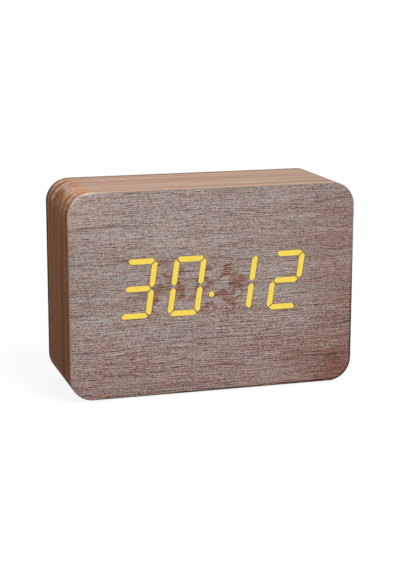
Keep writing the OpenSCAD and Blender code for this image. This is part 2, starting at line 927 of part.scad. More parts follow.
module battery_springs() {
    rise = spring_room - contact_t - spring_fit;
    color(contact_steel) {
        for (i = CELLS) {
            end = -cell_way(i);
            contact_strip(i, end);
            translate([bay_x + end * (bay_w / 2 - contact_t), cell_y, mid_z + cell_place(i)[1]])
                rotate([0, -end * 90, 0])
                    difference() {
                        cylinder(d1 = contact_w, d2 = button_end_d, h = rise);
                        translate([0, 0, -contact_t])
                            cylinder(d1 = contact_w - 2 * contact_t, d2 = button_end_d - 2 * contact_t,
                                     h = rise);
                    }
        }
        tail(-1, cell_y, 0);
    }
}

// The plates, with a link from each of the last two to the spring of the cell before it
module battery_plates() {
    link_l = cell_d + cell_gap - contact_w;
    color(contact_steel) {
        for (i = CELLS)
            contact_strip(i, cell_way(i));
        for (i = [2:len(CELLS)]) {
            middle = (contact_place(i, cell_way(i)) + contact_place(i - 1, cell_way(i))) / 2;
            chip(middle, [contact_t, tail_w, link_l], cell_y - tail_w / 2);
        }
        tail(1, cell_y, 0);
    }
}

module battery_leads() {
    color(lead_red)
        for (end = [-1, 1]) {
            from = tail_place(end);
            lead([from[0], tray_back_y - tail_l, from[1]], [0, -lead_out, 0],
                 [bay_x + end * battery_lead_shift, key_back_y, solder_z], [0, -lead_in, 0], lead_d);
        }
}

module key_board() {
    color(board_green)
        difference() {
            chip([(key_board_left + key_board_right) / 2, row_z],
                 [key_board_right - key_board_left, board_t, key_board_h], key_back_y);
            for (p = key_screw_at)
                bar(p, key_screw_d + 2 * screw_hole_fit, key_back_y - past, key_face_y + past);
        }
}

module key_board_screws() {
    color(screw_steel)
        for (p = key_screw_at)
            mirror([0, 1, 0])
                screw(p, -key_back_y, key_screw_d, board_t + key_screw_grip, 2 * key_screw_d,
                      key_screw_head_t);
}

module switch_bodies() {
    color(grey_plastic)
        for (x = button_x)
            difference() {
                chip([x, row_z], [switch_side, switch_h, switch_side], key_face_y);
                bar([x, row_z], plunger_d + 2 * plunger_fit,
                    switch_top_y - plunger_root - button_travel - plunger_fit, switch_top_y + past);
            }
}

// Button i: the cap, the collar that keeps it behind the cover, and the post that presses the switch
module button(i) {
    p = [button_x[i], row_z];
    color(grey_plastic)
        union() {
            bar(p, button_d, cover_in_y, core_rear_y + button_proud);
            bar(p, button_d + 2 * collar_w, cover_in_y - collar_t, cover_in_y);
            bar(p, plunger_d, plunger_top_y, cover_in_y);
        }
}

module plunger(i) {
    color(black_plastic)
        bar([button_x[i], row_z], plunger_d, switch_top_y - plunger_root, plunger_top_y);
}

module slide_switch() {
    color(screw_steel)
        difference() {
            chip([slide_x, row_z], [slide_w, slide_h, slide_z_size], key_face_y);
            chip([slide_x, row_z],
                 [knob_w + slide_travel + 2 * knob_fit, knob_root + past, knob_z_size + 2 * knob_fit],
                 slide_top_y - knob_root);
        }
}

module slide_knob() {
    color(black_plastic)
        chip([slide_x - slide_travel / 2, row_z],
             [knob_w, core_rear_y + knob_proud - slide_top_y + knob_root, knob_z_size],
             slide_top_y - knob_root);
}

module dc_jack() {
    p = [jack_x, jack_z];
    color(black_plastic)
        difference() {
            union() {
                bar(p, jack_flange_d, core_rear_y, jack_mouth_y);
                bar(p, jack_d, jack_end_y, core_rear_y);
            }
            bar(p, jack_bore_d, jack_floor_y, jack_mouth_y + past);
        }
}

module jack_nut() {
    color(screw_steel)
        difference() {
            translate([jack_x, cover_in_y, mid_z + jack_z])
                rotate([90, 0, 0])
                    cylinder(d = nut_flats / cos(30), h = nut_t, $fn = 6);
            bar([jack_x, jack_z], jack_d + 2 * nut_fit, cover_in_y - nut_t - past, cover_in_y + past);
        }
}

module jack_pin() {
    tip_y = jack_mouth_y - pin_recess - pin_d / 2;
    color(brass) {
        bar([jack_x, jack_z], pin_d, jack_floor_y, tip_y);
        translate([jack_x, tip_y, mid_z + jack_z])
            sphere(d = pin_d);
    }
}

module jack_lugs() {
    color(contact_steel)
        for (side = [-1, 1])
            chip([jack_x + side * lug_pitch / 2, jack_z], [contact_t, lug_l, lug_w],
                 jack_end_y - lug_l);
}

module jack_leads() {
    color(lead_red)
        for (side = [-1, 1]) {
            x = jack_x + side * lug_pitch / 2;
            lead([x, jack_end_y - lug_l, jack_z], [0, -lead_out, 0],
                 [x + jack_lead_shift, key_back_y, solder_z], [0, -lead_in, 0], lead_d);
        }
}

module buzzer_disc() {
    color(brass)
        bar([buzzer_x, buzzer_z], buzzer_d, buzzer_seat_y - buzzer_t, buzzer_seat_y);
}

module buzzer_ceramic() {
    color(film_white)
        bar([buzzer_x, buzzer_z], ceramic_d, buzzer_seat_y - buzzer_t - ceramic_t,
            buzzer_seat_y - buzzer_t);
}

module buzzer_leads() {
    disc_y = buzzer_seat_y - buzzer_t;
    color(lead_red) {
        lead([buzzer_x, disc_y - ceramic_t, buzzer_z], [0, -lead_out, 0],
             [buzzer_x + buzzer_lead_shift, key_back_y, solder_z], [0, -lead_in, 0], fine_lead_d);
        lead([buzzer_x + (buzzer_d + ceramic_d) / 4, disc_y, buzzer_z], [0, -lead_out, 0],
             [buzzer_x + 2 * buzzer_lead_shift, key_back_y, solder_z], [0, -lead_in, 0], fine_lead_d);
    }
}

module ferrite_rod() {
    color(ferrite_grey)
        translate([-rod_l / 2, 0, mid_z + rod_z])
            rotate([0, 90, 0])
                cylinder(d = rod_d, h = rod_l);
}

module antenna_coil() {
    color(copper)
        translate([-coil_l / 2, 0, mid_z + rod_z])
            rotate([0, 90, 0])
                difference() {
                    cylinder(d = rod_d + 2 * rod_fit + 2 * coil_t, h = coil_l);
                    translate([0, 0, -past])
                        cylinder(d = rod_d + 2 * rod_fit, h = coil_l + 2 * past);
                }
}

module antenna_saddles() {
    color(grey_plastic)
        for (side = [-1, 1])
            translate([side * saddle_pitch / 2 - saddle_t / 2, 0, mid_z])
                difference() {
                    translate([0, -saddle_w / 2, cavity_floor_z])
                        cube([saddle_t, saddle_w, saddle_h]);
                    translate([-past, 0, rod_z])
                        rotate([0, 90, 0])
                            cylinder(d = rod_d + 2 * rod_fit, h = saddle_t + 2 * past);
                }
}

module antenna_leads() {
    coil_r = rod_d / 2 + rod_fit + coil_t;
    color(copper)
        for (side = [-1, 1])
            lead([side * coil_l / 4, 0, rod_z + coil_r], [0, 0, antenna_lead_out],
                 [receiver_x + side * antenna_lead_pitch / 2, antenna_lead_y,
                  cavity_floor_z + receiver_t],
                 [0, 0, antenna_lead_in], fine_lead_d);
}

module receiver_board() {
    color(board_green)
        translate([receiver_x - receiver_w / 2, -receiver_l / 2, mid_z + cavity_floor_z])
            cube([receiver_w, receiver_l, receiver_t]);
}

module receiver_chip() {
    size = receiver_chip_size;
    color(grey_plastic)
        translate([receiver_x - size[0] / 2, -size[1] / 2, mid_z + cavity_floor_z + receiver_t])
            cube(size);
}

module receiver_leads() {
    color(lead_red)
        for (k = [-1, 0, 1])
            let (x = receiver_x + k * receiver_lead_pitch)
                lead([x, receiver_lead_y, cavity_floor_z + receiver_t], [0, 0, receiver_lead_out],
                     [x + receiver_lead_shift, key_back_y, solder_z], [0, -lead_in, 0], fine_lead_d);
}

core_block();
side_veneer();
front_veneer();
rear_veneer();
rubber_feet();
lit_segments();
dark_segments();
diffuser_film();
light_box();
display_board();
segment_leds();
display_screws();
controller_chip();
driver_chips();
clock_crystal();
filter_capacitors();
ribbon_sockets();
ribbon_cable();
back_cover();
cover_screws();
battery_door();
battery_springs();
battery_plates();
battery_leads();
key_board();
key_board_screws();
switch_bodies();
slide_switch();
slide_knob();
dc_jack();
jack_nut();
jack_pin();
jack_lugs();
jack_leads();
buzzer_disc();
buzzer_ceramic();
buzzer_leads();
ferrite_rod();
antenna_coil();
antenna_saddles();
antenna_leads();
receiver_board();
receiver_chip();
receiver_leads();
for (i = CELLS)
    battery(i);
for (i = [0:len(BUTTONS) - 1])
    button(i);
for (i = [0:len(BUTTONS) - 1])
    plunger(i);
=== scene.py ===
"""Looks of the veneered block clock: wood, glowing digits, and the moulded back with its controls."""
import json
import math
from collections import namedtuple

import bmesh
import bpy
from mathutils import Matrix, Vector

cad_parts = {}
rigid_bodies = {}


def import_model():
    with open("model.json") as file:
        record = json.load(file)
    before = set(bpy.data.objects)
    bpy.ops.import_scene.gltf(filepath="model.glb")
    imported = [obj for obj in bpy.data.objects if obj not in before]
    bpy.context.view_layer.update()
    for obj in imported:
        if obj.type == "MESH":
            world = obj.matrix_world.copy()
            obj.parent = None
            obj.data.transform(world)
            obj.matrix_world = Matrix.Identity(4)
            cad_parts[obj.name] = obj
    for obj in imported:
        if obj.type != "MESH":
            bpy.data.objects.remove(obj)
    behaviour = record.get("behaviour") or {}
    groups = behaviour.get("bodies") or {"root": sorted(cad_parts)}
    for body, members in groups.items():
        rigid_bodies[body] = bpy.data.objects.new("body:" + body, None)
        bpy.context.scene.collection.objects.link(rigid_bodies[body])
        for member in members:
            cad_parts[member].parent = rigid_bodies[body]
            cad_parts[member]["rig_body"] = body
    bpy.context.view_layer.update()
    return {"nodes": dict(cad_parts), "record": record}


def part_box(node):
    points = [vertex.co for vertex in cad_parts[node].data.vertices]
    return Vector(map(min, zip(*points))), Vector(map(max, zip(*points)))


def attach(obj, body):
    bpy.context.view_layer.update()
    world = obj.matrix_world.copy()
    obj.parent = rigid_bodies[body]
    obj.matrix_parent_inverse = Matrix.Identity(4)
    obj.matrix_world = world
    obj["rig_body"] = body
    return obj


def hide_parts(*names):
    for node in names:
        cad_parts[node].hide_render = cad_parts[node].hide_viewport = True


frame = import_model()
nodes = frame["nodes"]
slots = {row["node"]: row["material_slot"] for row in frame["record"]["subparts"]}

MM = 0.001
GRAIN = "grain"
ALONG = "along"
TO_FRONT = Vector((0, -1, 0))
CELLS = ("battery_1", "battery_2", "battery_3")

# Points nearer than the first are one point, and points within the second of a plane lie in it
WELD = 1e-7
FLUSH = 1e-6

# Camera: its viewing angle in degrees, its distance and aim in metres, and its lens
CAMERA_AZIMUTH = -16.81
CAMERA_ELEVATION = 12.54
CAMERA_ROLL = 0.09
CAMERA_DISTANCE = 0.7723
CAMERA_NEAR = 0.01
AIM_RIGHT = 0.61 * MM
AIM_UP = -2.92 * MM
CAMERA_LENS = 93.31

# Light: the way to each lamp, its level on a white surface that faces it, and its spread in degrees
KEY_WAY = (0.30, -0.60, 0.74)
KEY_LEVEL = 0.95
KEY_SPREAD = 40
FILL_WAY = (0.45, 0.85, 0.25)
FILL_LEVEL = 0.5
FILL_SPREAD = 60
AMBIENT_LEVEL = 0.25

# Floor: its reach in metres, the light and tone that a viewer sees, and the colour that it sheds
FLOOR_REACH = 12.0
FLOOR_PARTS = 8
FLOOR_GLOW = 0.90
FLOOR_TONE = 0.11
FLOOR_COLOUR = 0.25
FLOOR_DROP = 0.02 * MM

# Wood, in millimetres: its waves, the places of its vein and strokes, and the shifts of its noise
GRAIN_WAVE = 5.0
VEIN_WAVE = 7.0
VEIN_DROP = 13.8
STROKES_RIGHT = -8.0
STROKES_UP = 3.0
FIBRE_LIP = (0.0, 0.0, 0.5)
BAND_SHIFT = (0.0, 9.9, 0.0)
STROKE_SHIFT = (-10.0, 55.0, 4.0)
BREAK_SHIFT = (-10.0, -55.0, 0.0)

# Plastics and the like: dark and light tone, roughness, and their texture's size and depth in millimetres
MOULDED = {
    "rubber_black": ((16, 16, 17), (34, 34, 35), 0.75, 0.5),
    "film_white": ((214, 214, 206), (236, 236, 230), 0.5, 0.8),
    "shade_white": ((210, 210, 206), (234, 234, 230), 0.5, 0.4),
    "led_resin": ((222, 186, 84), (244, 218, 128), 0.25, 0.5),
    "grey_plastic": ((40, 40, 43), (62, 62, 66), 0.5, 0.5),
    "black_plastic": ((23, 23, 24), (42, 42, 44), 0.55, 0.32, 0.05),
    "button_grey": ((54, 55, 58), (78, 79, 83), 0.45, 0.5),
    "jack_black": ((14, 14, 15), (28, 28, 29), 0.35, 0.8),
    "buzzer_ceramic": ((196, 192, 182), (228, 224, 216), 0.4, 0.6),
    "ferrite": ((38, 36, 36), (64, 61, 60), 0.6, 0.4),
    "lead_red": ((146, 24, 20), (188, 40, 34), 0.4, 0.8),
}

# Metals: dark and light tone, and roughness
METALS = {
    "screw_steel": ((150, 152, 156), (196, 198, 202), 0.35),
    "contact_steel": ((176, 172, 160), (216, 212, 200), 0.28),
    "brass": ((176, 132, 62), (222, 180, 102), 0.3),
}

# Ridges, in millimetres: the wires of the ribbon and the turns of the coil
RIBBON_PITCH = 1.27
COIL_PITCH = 0.5

# Block: the rounded edges of its leaves, the shadow round each lit window, and the rim of each wafer
FRONT_EDGE = 0.5 * MM
REAR_EDGE = 0.8 * MM
RIM_EDGE = 0.15 * MM
COVER_GAP = 0.25 * MM
WINDOW_RING = 0.18 * MM
WINDOW_GAP = 0.03 * MM
WAFER_RIM = 0.22 * MM
WAFER_RISE = 0.03 * MM
CORNER_STEPS = 20
FRONT_STEPS = 4
REAR_STEPS = 6

# Rounded edges at the back: their widths in millimetres, their steps, and angles in degrees
EDGE_WIDTHS = {"back_cover": 0.25, "battery_door": 0.3, "slide_knob": 0.25, "dc_jack": 0.15}
EDGE_WIDTHS.update({"cover_screws": 0.15, "rubber_feet": 0.35, "jack_pin": 0.05})
EDGE_WIDTHS.update({key + "_button": 0.45 for key in ("set", "alarm", "up", "down", "wave")})
EDGE_STEPS = 3
EDGE_ANGLE = 40.0
FLAT_ANGLE = 0.5

# Signs: their outlines in millimetres, their rise, and how far some stand from what they mark
STROKE = 0.5
FINE_STROKE = 0.35
SIGN_SIZE = 2.8
WAVE_FOOT = -1.3
POLARITY_REACH = 4.6
SIGN_RISE = 0.08 * MM
SWITCH_SIGN_OFF = 6.4 * MM
POLARITY_RISE = 4.2 * MM
DOOR_SIGN_DROP = 12 * MM

# Springs: their strips, and their wires with a part of a turn that lies flat at either end
STRIP_W = 7.0 * MM
STRIP_T = 0.4 * MM
STRIP_R = 0.8 * MM
STRIP_STEPS = 4
WIRE_R = 0.28 * MM
WIRE_TURNS = 4
WIRE_STEPS = 24
WIRE_FLAT = 0.75

Cell = namedtuple("Cell", "flat way length radius button body")


def srgb(red, green, blue):
    """A colour from its 0 to 255 screen values."""
    def linear(value):
        share = value / 255
        return share / 12.92 if share <= 0.04045 else ((share + 0.055) / 1.055) ** 2.4
    return (linear(red), linear(green), linear(blue), 1)


# Node trees

class Tree:
    """Short calls that build a node tree."""

    def __init__(self, tree):
        self.tree = tree

    def feed(self, node, sockets):
        """Links or sets a node's sockets; an underscore in a name stands for a space."""
        for key, value in sockets.items():
            socket = node.inputs[key.replace("_", " ") if isinstance(key, str) else key]
            if isinstance(value, bpy.types.NodeSocket):
                self.tree.links.new(value, socket)
            else:
                socket.default_value = value

    def add(self, kind, sockets=(), **settings):
        node = self.tree.nodes.new(kind)
        for key, value in settings.items():
            setattr(node, key, value)
        self.feed(node, dict(sockets))
        return node

    def math(self, operation, a, b=0.0, c=0.0):
        return self.add("ShaderNodeMath", {0: a, 1: b, 2: c}, operation=operation).outputs[0]

    def total(self, *shares):
        """The sum of values, each times its weight."""
        result = 0.0
        for value, weight in shares:
            result = self.math("MULTIPLY_ADD", value, weight, result)
        return result

    def product(self, result, *factors):
        for factor in factors:
            result = self.math("MULTIPLY", result, factor)
        return result

    def apart(self, value, centre):
        """How far a value lies from a centre, to either side."""
        return self.math("ABSOLUTE", self.math("SUBTRACT", value, centre))

    def ridges(self, value, pitch):
        """A value that rises from 0 to 1 and falls once in each pitch."""
        return self.math("ABSOLUTE", self.math("SINE", self.math("MULTIPLY", value, math.pi / pitch)))

    def step(self, value, low, high, out_low=0.0, out_high=1.0):
        """A smooth step of value from out_low at low to out_high at high."""
        sockets = {0: value, 1: low, 2: high, 3: out_low, 4: out_high}
        return self.add("ShaderNodeMapRange", sockets, interpolation_type="SMOOTHSTEP").outputs[0]

    def belt(self, value, start, end, soft):
        """1 between start and end, with soft borders inside them."""
        return self.product(self.step(value, start, start + soft), self.step(value, end, end - soft))

    def vector(self, operation, a, b):
        return self.add("ShaderNodeVectorMath", {0: a, 1: b}, operation=operation).outputs[0]

    def distance(self, a, b):
        return self.add("ShaderNodeVectorMath", {0: a, 1: b}, operation="DISTANCE").outputs["Value"]

    def parts(self, vector):
        return self.add("ShaderNodeSeparateXYZ", {0: vector}).outputs

    def scaled(self, place, size):
        """A place counted in the given size, one for all axes or one for each."""
        sizes = size if isinstance(size, tuple) else (size,) * 3
        return self.vector("MULTIPLY", place, tuple(1 / s for s in sizes))

    def noise(self, place, size, detail=2.0, roughness=0.5):
        """Noise whose features have the given size in millimetres."""
        sockets = {0: self.scaled(place, size), "Scale": 1.0, "Detail": detail, "Roughness": roughness}
        return self.add("ShaderNodeTexNoise", sockets).outputs[0]

    def fibres(self, place, size):
        """Fibres about 0, each with a pale lip beside its dark groove."""
        beside = self.vector("ADD", place, FIBRE_LIP)
        return self.math("SUBTRACT", self.noise(place, size, 0.0), self.noise(beside, size, 0.0))

    def cells(self, place, size):
        """A random value for each of many small cells."""
        sockets = {0: self.scaled(place, size), "Scale": 1.0}
        colour = self.add("ShaderNodeTexVoronoi", sockets).outputs["Color"]
        return self.add("ShaderNodeSeparateColor", {0: colour}).outputs[0]

    def inset(self, x, z, low, high, radius):
        """How far, in millimetres and up to its radius, a point lies inside a rounded rectangle."""
        middle, half = (low + high) / 2 / MM, (high - low) / 2 / MM
        outer = []
        for value, centre, reach in ((x, middle.x, half.x), (z, middle.z, half.z)):
            side = self.math("SUBTRACT", self.apart(value, centre), reach - radius / MM)
            outer.append(self.math("MAXIMUM", side, 0.0))
        corner = self.add("ShaderNodeCombineXYZ", {0: outer[0], 1: outer[1]}).outputs[0]
        return self.math("SUBTRACT", radius / MM, self.distance(corner, (0, 0, 0)))

    def mix(self, share, a, b, blend="MIX"):
        node = self.add("ShaderNodeMix", {0: share, 6: a, 7: b}, data_type="RGBA", blend_type=blend)
        return node.outputs[2]

    def tint(self, share, colour, red, green, blue):
        """A colour times a tint, as far as share says, so that its grain stays."""
        return self.mix(share, colour, (red, green, blue, 1), "MULTIPLY")

    def ramp(self, value, *stops):
        """A colour for each value, from stops of (position, red, green, blue)."""
        node = self.add("ShaderNodeValToRGB", {0: value})
        elements = node.color_ramp.elements
        while len(elements) < len(stops):
            elements.new(0.5)
        for element, (position, *colour) in zip(elements, stops):
            element.position = position
            element.color = srgb(*colour)
        return node.outputs[0]

    def seen_directly(self):
        """1 for rays that see the surroundings: from the camera, in gloss or through glass."""
        rays = self.add("ShaderNodeLightPath").outputs
        seen = self.math("MAXIMUM", rays["Is Camera Ray"], rays["Is Glossy Ray"])
        return self.math("MAXIMUM", seen, rays["Is Transmission Ray"])


class Finish(Tree):
    """A material's node tree, with the point on the object in millimetres."""

    def __init__(self, name, **sockets):
        self.material = bpy.data.materials.new(name)
        self.material.use_nodes = True
        super().__init__(self.material.node_tree)
        self.shader = self.tree.nodes["Principled BSDF"]
        self.shade(**sockets)
        self.place = self.scaled(self.add("ShaderNodeTexCoord").outputs["Object"], MM)
        self.x, self.y, self.z = self.parts(self.place)

    def shade(self, **sockets):
        self.feed(self.shader, sockets)

    def done(self, colour, roughness, height, depth):
        """The material, with relief of the given depth in millimetres."""
        relief = self.add("ShaderNodeBump", {"Strength": 1.0, "Distance": depth * MM, "Height": height})
        self.shade(Base_Color=colour, Roughness=roughness, Normal=relief.outputs[0])
        return self.material


# The wood of the front

class Face(Finish):
    """The front's finish: its places in millimetres and the grain that its steps share."""

    def __init__(self, name, **sockets):
        super().__init__(name, **sockets)
        low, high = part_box("front_veneer")
        self.left, self.right = low.x / MM, high.x / MM
        self.foot, self.head = low.z / MM, high.z / MM
        self.across = self.step(self.x, self.left, self.right)
        self.down = self.step(self.z, self.head, self.foot)
        flow = self.noise(self.place, (70, 40, 34), 1.0)
        waved = self.math("MULTIPLY_ADD", flow, GRAIN_WAVE, self.z)
        self.grain = self.add("ShaderNodeCombineXYZ", {0: self.x, 2: waved}).outputs[0]
        self.fibre = self.fibres(self.grain, (12, 1, 0.4))
        self.figure = self.noise(self.grain, (60, 1, 6))
        self.band = self.noise(self.vector("ADD", self.grain, BAND_SHIFT), (90, 1, 9), 1.0)
        # Painted light: the upper left of the face is paler and its grain weaker
        painted_light_left = self.step(self.x, self.left + 35, self.left + 1)
        self.painted_pale_light = self.product(painted_light_left, self.step(self.z, self.head - 30, self.head - 6))


def fine_grain(t):
    """The tone of flecks and fibres, longer and stronger low down, over the broad figure."""
    fleck = t.cells(t.grain, (0.5, 1, 0.34))
    short = t.fibres(t.grain, (2.0, 1, 0.4))
    long = t.product(t.fibres(t.grain, (36, 1, 0.42)), t.step(t.down, 0.35, 0.8))
    fine = t.total((fleck, 0.26), (short, 0.08), (t.fibre, 0.26), (long, 0.17), (1.0, -0.13))
    strength = t.total((t.step(t.down, 0.1, 0.8), 0.12), (t.painted_pale_light, -0.2), (1.0, 0.94))
    return t.total((t.product(fine, strength), 1.0), (t.figure, 0.11), (1.0, 0.445))


def pores_and_patches(t, colour):
    """Thin dark pores, faint warm patches, and warm bands where the figure is dark."""
    pore = t.step(t.noise(t.grain, (10, 1, 0.5), 1.0), 0.40, 0.28, 0.0, 0.9)
    colour = t.tint(pore, colour, 0.46, 0.42, 0.41)
    patch = t.step(t.noise(t.grain, (4, 1, 2.6), 1.0), 0.40, 0.64)
    colour = t.tint(patch, colour, 1.0, 0.92, 0.89)
    return t.tint(t.step(t.figure, 0.54, 0.36, 0.0, 0.6), colour, 1.0, 0.90, 0.86)


def dark_lines(t):
    """Long dark lines gathered in bands, more of them low down."""
    line = t.step(t.noise(t.grain, (28, 1, 0.6), 1.0), 0.44, 0.31)
    gathered = t.step(t.band, 0.36, 0.62, 0.1, 0.9)
    return t.product(line, gathered, t.step(t.down, 0.0, 0.9, 0.5, 1.0))


def winding_vein(t):
    """One dark line that winds across the upper left."""
    wind = t.math("MULTIPLY_ADD", t.noise(t.place, (18, 40, 40), 1.0), VEIN_WAVE, t.z)
    vein = t.step(t.apart(wind, t.head - VEIN_DROP), 0.9, 0.2, 0.0, 0.75)
    return t.product(vein, t.step(t.x, t.left + 47, t.left + 31))


def red_tones(t, colour):
    """Red-brown streaks, and smears at the right that are strongest in the lower corner."""
    streak = t.step(t.noise(t.grain, (16, 1, 2.0), 1.0), 0.52, 0.70)
    streak = t.product(streak, t.total((t.down, 0.5), (1.0, 0.2)))
    colour = t.tint(streak, colour, 0.92, 0.66, 0.58)
    colour = t.tint(t.step(t.down, 0.7, 1.0), colour, 0.96, 0.88, 0.87)
    smear = t.step(t.noise(t.grain, (24, 1, 1.8)), 0.38, 0.60, 0.4, 1.0)
    right = t.step(t.x, t.right - 43, t.right - 3)
    right = t.product(right, t.step(t.z, t.head - 2, t.head - 40, 0.8, 1.0))
    colour = t.tint(t.product(right, smear), colour, 0.75, 0.605, 0.565)
    corner = t.step(t.x, t.right - 49, t.right - 1)
    corner = t.product(corner, t.step(t.z, t.foot + 37, t.foot + 7))
    return t.tint(t.product(corner, smear), colour, 0.82, 0.58, 0.51)


def soft_strokes(t):
    """Soft strokes of no set shape round the middle of the face."""
    off_x = t.apart(t.x, (t.left + t.right) / 2 + STROKES_RIGHT)
    off_z = t.apart(t.z, (t.foot + t.head) / 2 + STROKES_UP)
    curl = t.noise(t.vector("ADD", t.place, STROKE_SHIFT), (14, 14, 10), 3.0, 0.45)
    stroke = t.step(t.apart(curl, 0.5), 0.058, 0.012)
    broken = t.step(t.noise(t.vector("ADD", t.place, BREAK_SHIFT), (13, 13, 9), 1.0), 0.40, 0.56)
    grained = t.step(t.fibre, 0.2, -0.1, 0.6, 1.0)
    return t.product(stroke, broken, grained, t.step(off_x, 34, 20), t.step(off_z, 19, 10))


def lower_right(t):
    """A value in millimetres that rises towards the lower right corner."""
    return t.total((t.x, 0.5), (t.z, -1.0))


def painted_border_shade(t):
    """Painted shade along the border, below and at the right."""
    inset = t.inset(t.x, t.z, *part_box("front_veneer"), corner_radius("front_veneer"))
    below = t.step(lower_right(t), -50, 8)
    return t.product(t.step(inset, 1.6, 0.9), below, t.step(t.fibre, 0.2, 0.0, 0.5, 1.0))


def broad_light(t):
    """The face's level: painted light at the upper left, painted shade towards the right and bottom and
    under the upper border, and low in the figure's bands.
    """
    painted_brow_shade = t.step(t.z, t.head - 12, t.head - 5)
    painted_brow_shade = t.product(painted_brow_shade, t.step(t.x, t.left + 25, t.left + 95, 0.3, 1.0))
    shares = [(t.across, -0.03), (t.down, -0.02), (t.band, -0.25), (t.painted_pale_light, 0.2), (painted_brow_shade, -0.08)]
    return t.total(*shares, (1.0, 1.165))


def front_wood():
    """Grey-brown open-pored veneer with its grain from side to side."""
    t = Face("front_wood", IOR=1.3)
    tone = fine_grain(t)
    colour = t.ramp(
        tone, (0.30, 62, 48, 42), (0.42, 134, 120, 112), (0.50, 165, 152, 145),
        (0.60, 188, 176, 169), (0.76, 214, 203, 197),
    )
    colour = pores_and_patches(t, colour)
    dark = dark_lines(t)
    colour = t.tint(dark, colour, 0.36, 0.305, 0.29)
    colour = t.tint(winding_vein(t), colour, 0.52, 0.46, 0.45)
    colour = red_tones(t, colour)
    colour = t.tint(soft_strokes(t), colour, 0.64, 0.34, 0.25)
    # Painted shade along the lower and right border of the face
    colour = t.tint(painted_border_shade(t), colour, 0.30, 0.19, 0.15)
    # Painted light and shade over the whole face
    colour = t.mix(1.0, colour, broad_light(t), "MULTIPLY")
    roughness = t.step(t.fibre, -0.2, 0.2, 0.72, 0.55)
    return t.done(colour, roughness, t.total((tone, 1.0), (dark, -0.4)), 0.04)


def edge_wood():
    """The front leaf's rounded edge: a painted highlight at the upper left, painted shade below and at the
    right.
    """
    t = Finish("edge_wood", IOR=1.02, Roughness=0.6)
    low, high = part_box("front_veneer")
    radius = corner_radius("front_veneer")
    spot = Vector((low.x + radius * 0.5, low.y, high.z - radius * 0.4)) / MM
    away = t.distance(t.place, tuple(spot))
    fibre = t.noise(t.place, 2.4, 3.0)
    # Painted highlight near the upper left corner
    painted_highlight = t.product(t.step(away, 20, 4), t.step(fibre, 0.36, 0.6, 0.35, 0.9))
    # Painted shade below and at the right, broken into dashes
    dash = t.step(t.noise(t.place, 7), 0.36, 0.6, 1.0, 0.7)
    dark = t.product(t.step(lower_right(t), -50, -8), dash)
    colour = t.mix(dark, srgb(164, 140, 124), srgb(26, 13, 9))
    t.shade(Base_Color=t.mix(painted_highlight, colour, srgb(232, 214, 194)))
    return t.material


# The wood of the sides and the back

class Wrap(Finish):
    """The sides' finish: its places in millimetres and the grain that its steps share."""

    def __init__(self, name, **sockets):
        super().__init__(name, **sockets)
        low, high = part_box("side_veneer")
        self.right = high.x / MM
        self.foot, self.head = low.z / MM, high.z / MM
        self.rear = (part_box("rear_veneer")[1].y - REAR_EDGE - low.y) / MM
        self.radius = corner_radius("front_veneer") / MM
        self.grain = self.scaled(self.add("ShaderNodeUVMap", uv_map=GRAIN).outputs["UV"], MM)
        self.depth = self.parts(self.grain)[1]
        self.line = self.noise(self.grain, (60, 1.2, 1), 2.0, 0.6)
        self.fibre = self.noise(self.grain, (10, 0.6, 1), 2.0, 0.6)
        stripe = self.noise(self.grain, (170, 4.5, 1), 1.0)
        self.tone = self.total((self.line, 0.4), (stripe, 0.35), (self.fibre, 0.25))
        self.top = self.step(self.z, self.head - self.radius * 0.8, self.head)


def broad_shade(t, colour):
    """Darker at the right of the top, with a grey line at its bend, and low on the sides."""
    dim = t.product(t.top, t.step(t.x, t.right - 80, t.right - 10))
    colour = t.tint(dim, colour, 0.86, 0.865, 0.87)
    bend = t.right - t.radius
    turned = t.product(t.step(t.x, bend, bend + 1.8), t.step(t.z, t.head - 8, t.head - 3))
    colour = t.tint(turned, colour, 0.70, 0.82, 0.90)
    return t.tint(t.step(t.z, t.head - 22, t.foot + 7), colour, 0.88, 0.89, 0.95)


def bent_corners(t, colour):
    """Richer tones, partly painted light, and bright flecks of painted glint in the bent upper corners, most
    at the left.
    """
    outward = t.step(t.math("ABSOLUTE", t.x), t.right - 18, t.right - 3)
    leftward = t.step(t.x, t.right * 0.4, t.right * -0.4, 0.15, 1.0)
    bend = t.product(t.step(t.z, t.head - 24, t.head - 3), outward, leftward)
    # Richer, brighter tones at the bend: partly the veneer's own tone, partly painted light
    rich_and_painted_light = t.ramp(t.tone, (0.42, 122, 66, 30), (0.50, 204, 130, 76), (0.58, 238, 178, 122))
    colour = t.mix(t.product(bend, 0.85), colour, rich_and_painted_light)
    # Painted glints: bright flecks in clusters on the bend
    fleck = t.step(t.noise(t.grain, (3.6, 0.9, 1), 2.0, 0.7), 0.50, 0.59)
    glint_cluster = t.step(t.noise(t.grain, (14, 9, 1), 1.0), 0.43, 0.57)
    painted_glints = t.product(fleck, glint_cluster, t.step(bend, 0.55, 0.9), 0.85)
    return t.mix(painted_glints, colour, srgb(250, 242, 232))


def side_edges(t, colour):
    """A warm front edge, a painted highlight along the front of the top, and a bright line beside painted
    shade at the rear edge.
    """
    warm = t.product(t.step(t.depth, 3.6, 0.8), t.step(t.top, 0.6, 0.0))
    warm = t.product(warm, t.step(t.z, t.foot + 23, t.head - 18, 0.0, 0.6))
    colour = t.mix(warm, colour, srgb(204, 118, 56))
    # Painted highlight along the front edge of the top
    lit = t.product(t.top, t.step(t.depth, 2.8, 0.6, 0.0, 0.5))
    colour = t.mix(lit, colour, srgb(214, 190, 168))
    glow = t.product(t.belt(t.depth, t.rear - 7.0, t.rear - 3.8, 1.2), 0.45)
    colour = t.mix(glow, colour, srgb(214, 140, 84))
    # Painted shade along the rear edge
    painted_rear_shade = t.step(t.depth, t.rear - 4.4, t.rear - 3.2)
    painted_rear_shade = t.product(painted_rear_shade, t.step(t.z, t.head - 16, t.head - 4, 0.95, 0.6))
    return t.mix(painted_rear_shade, colour, srgb(30, 18, 9))


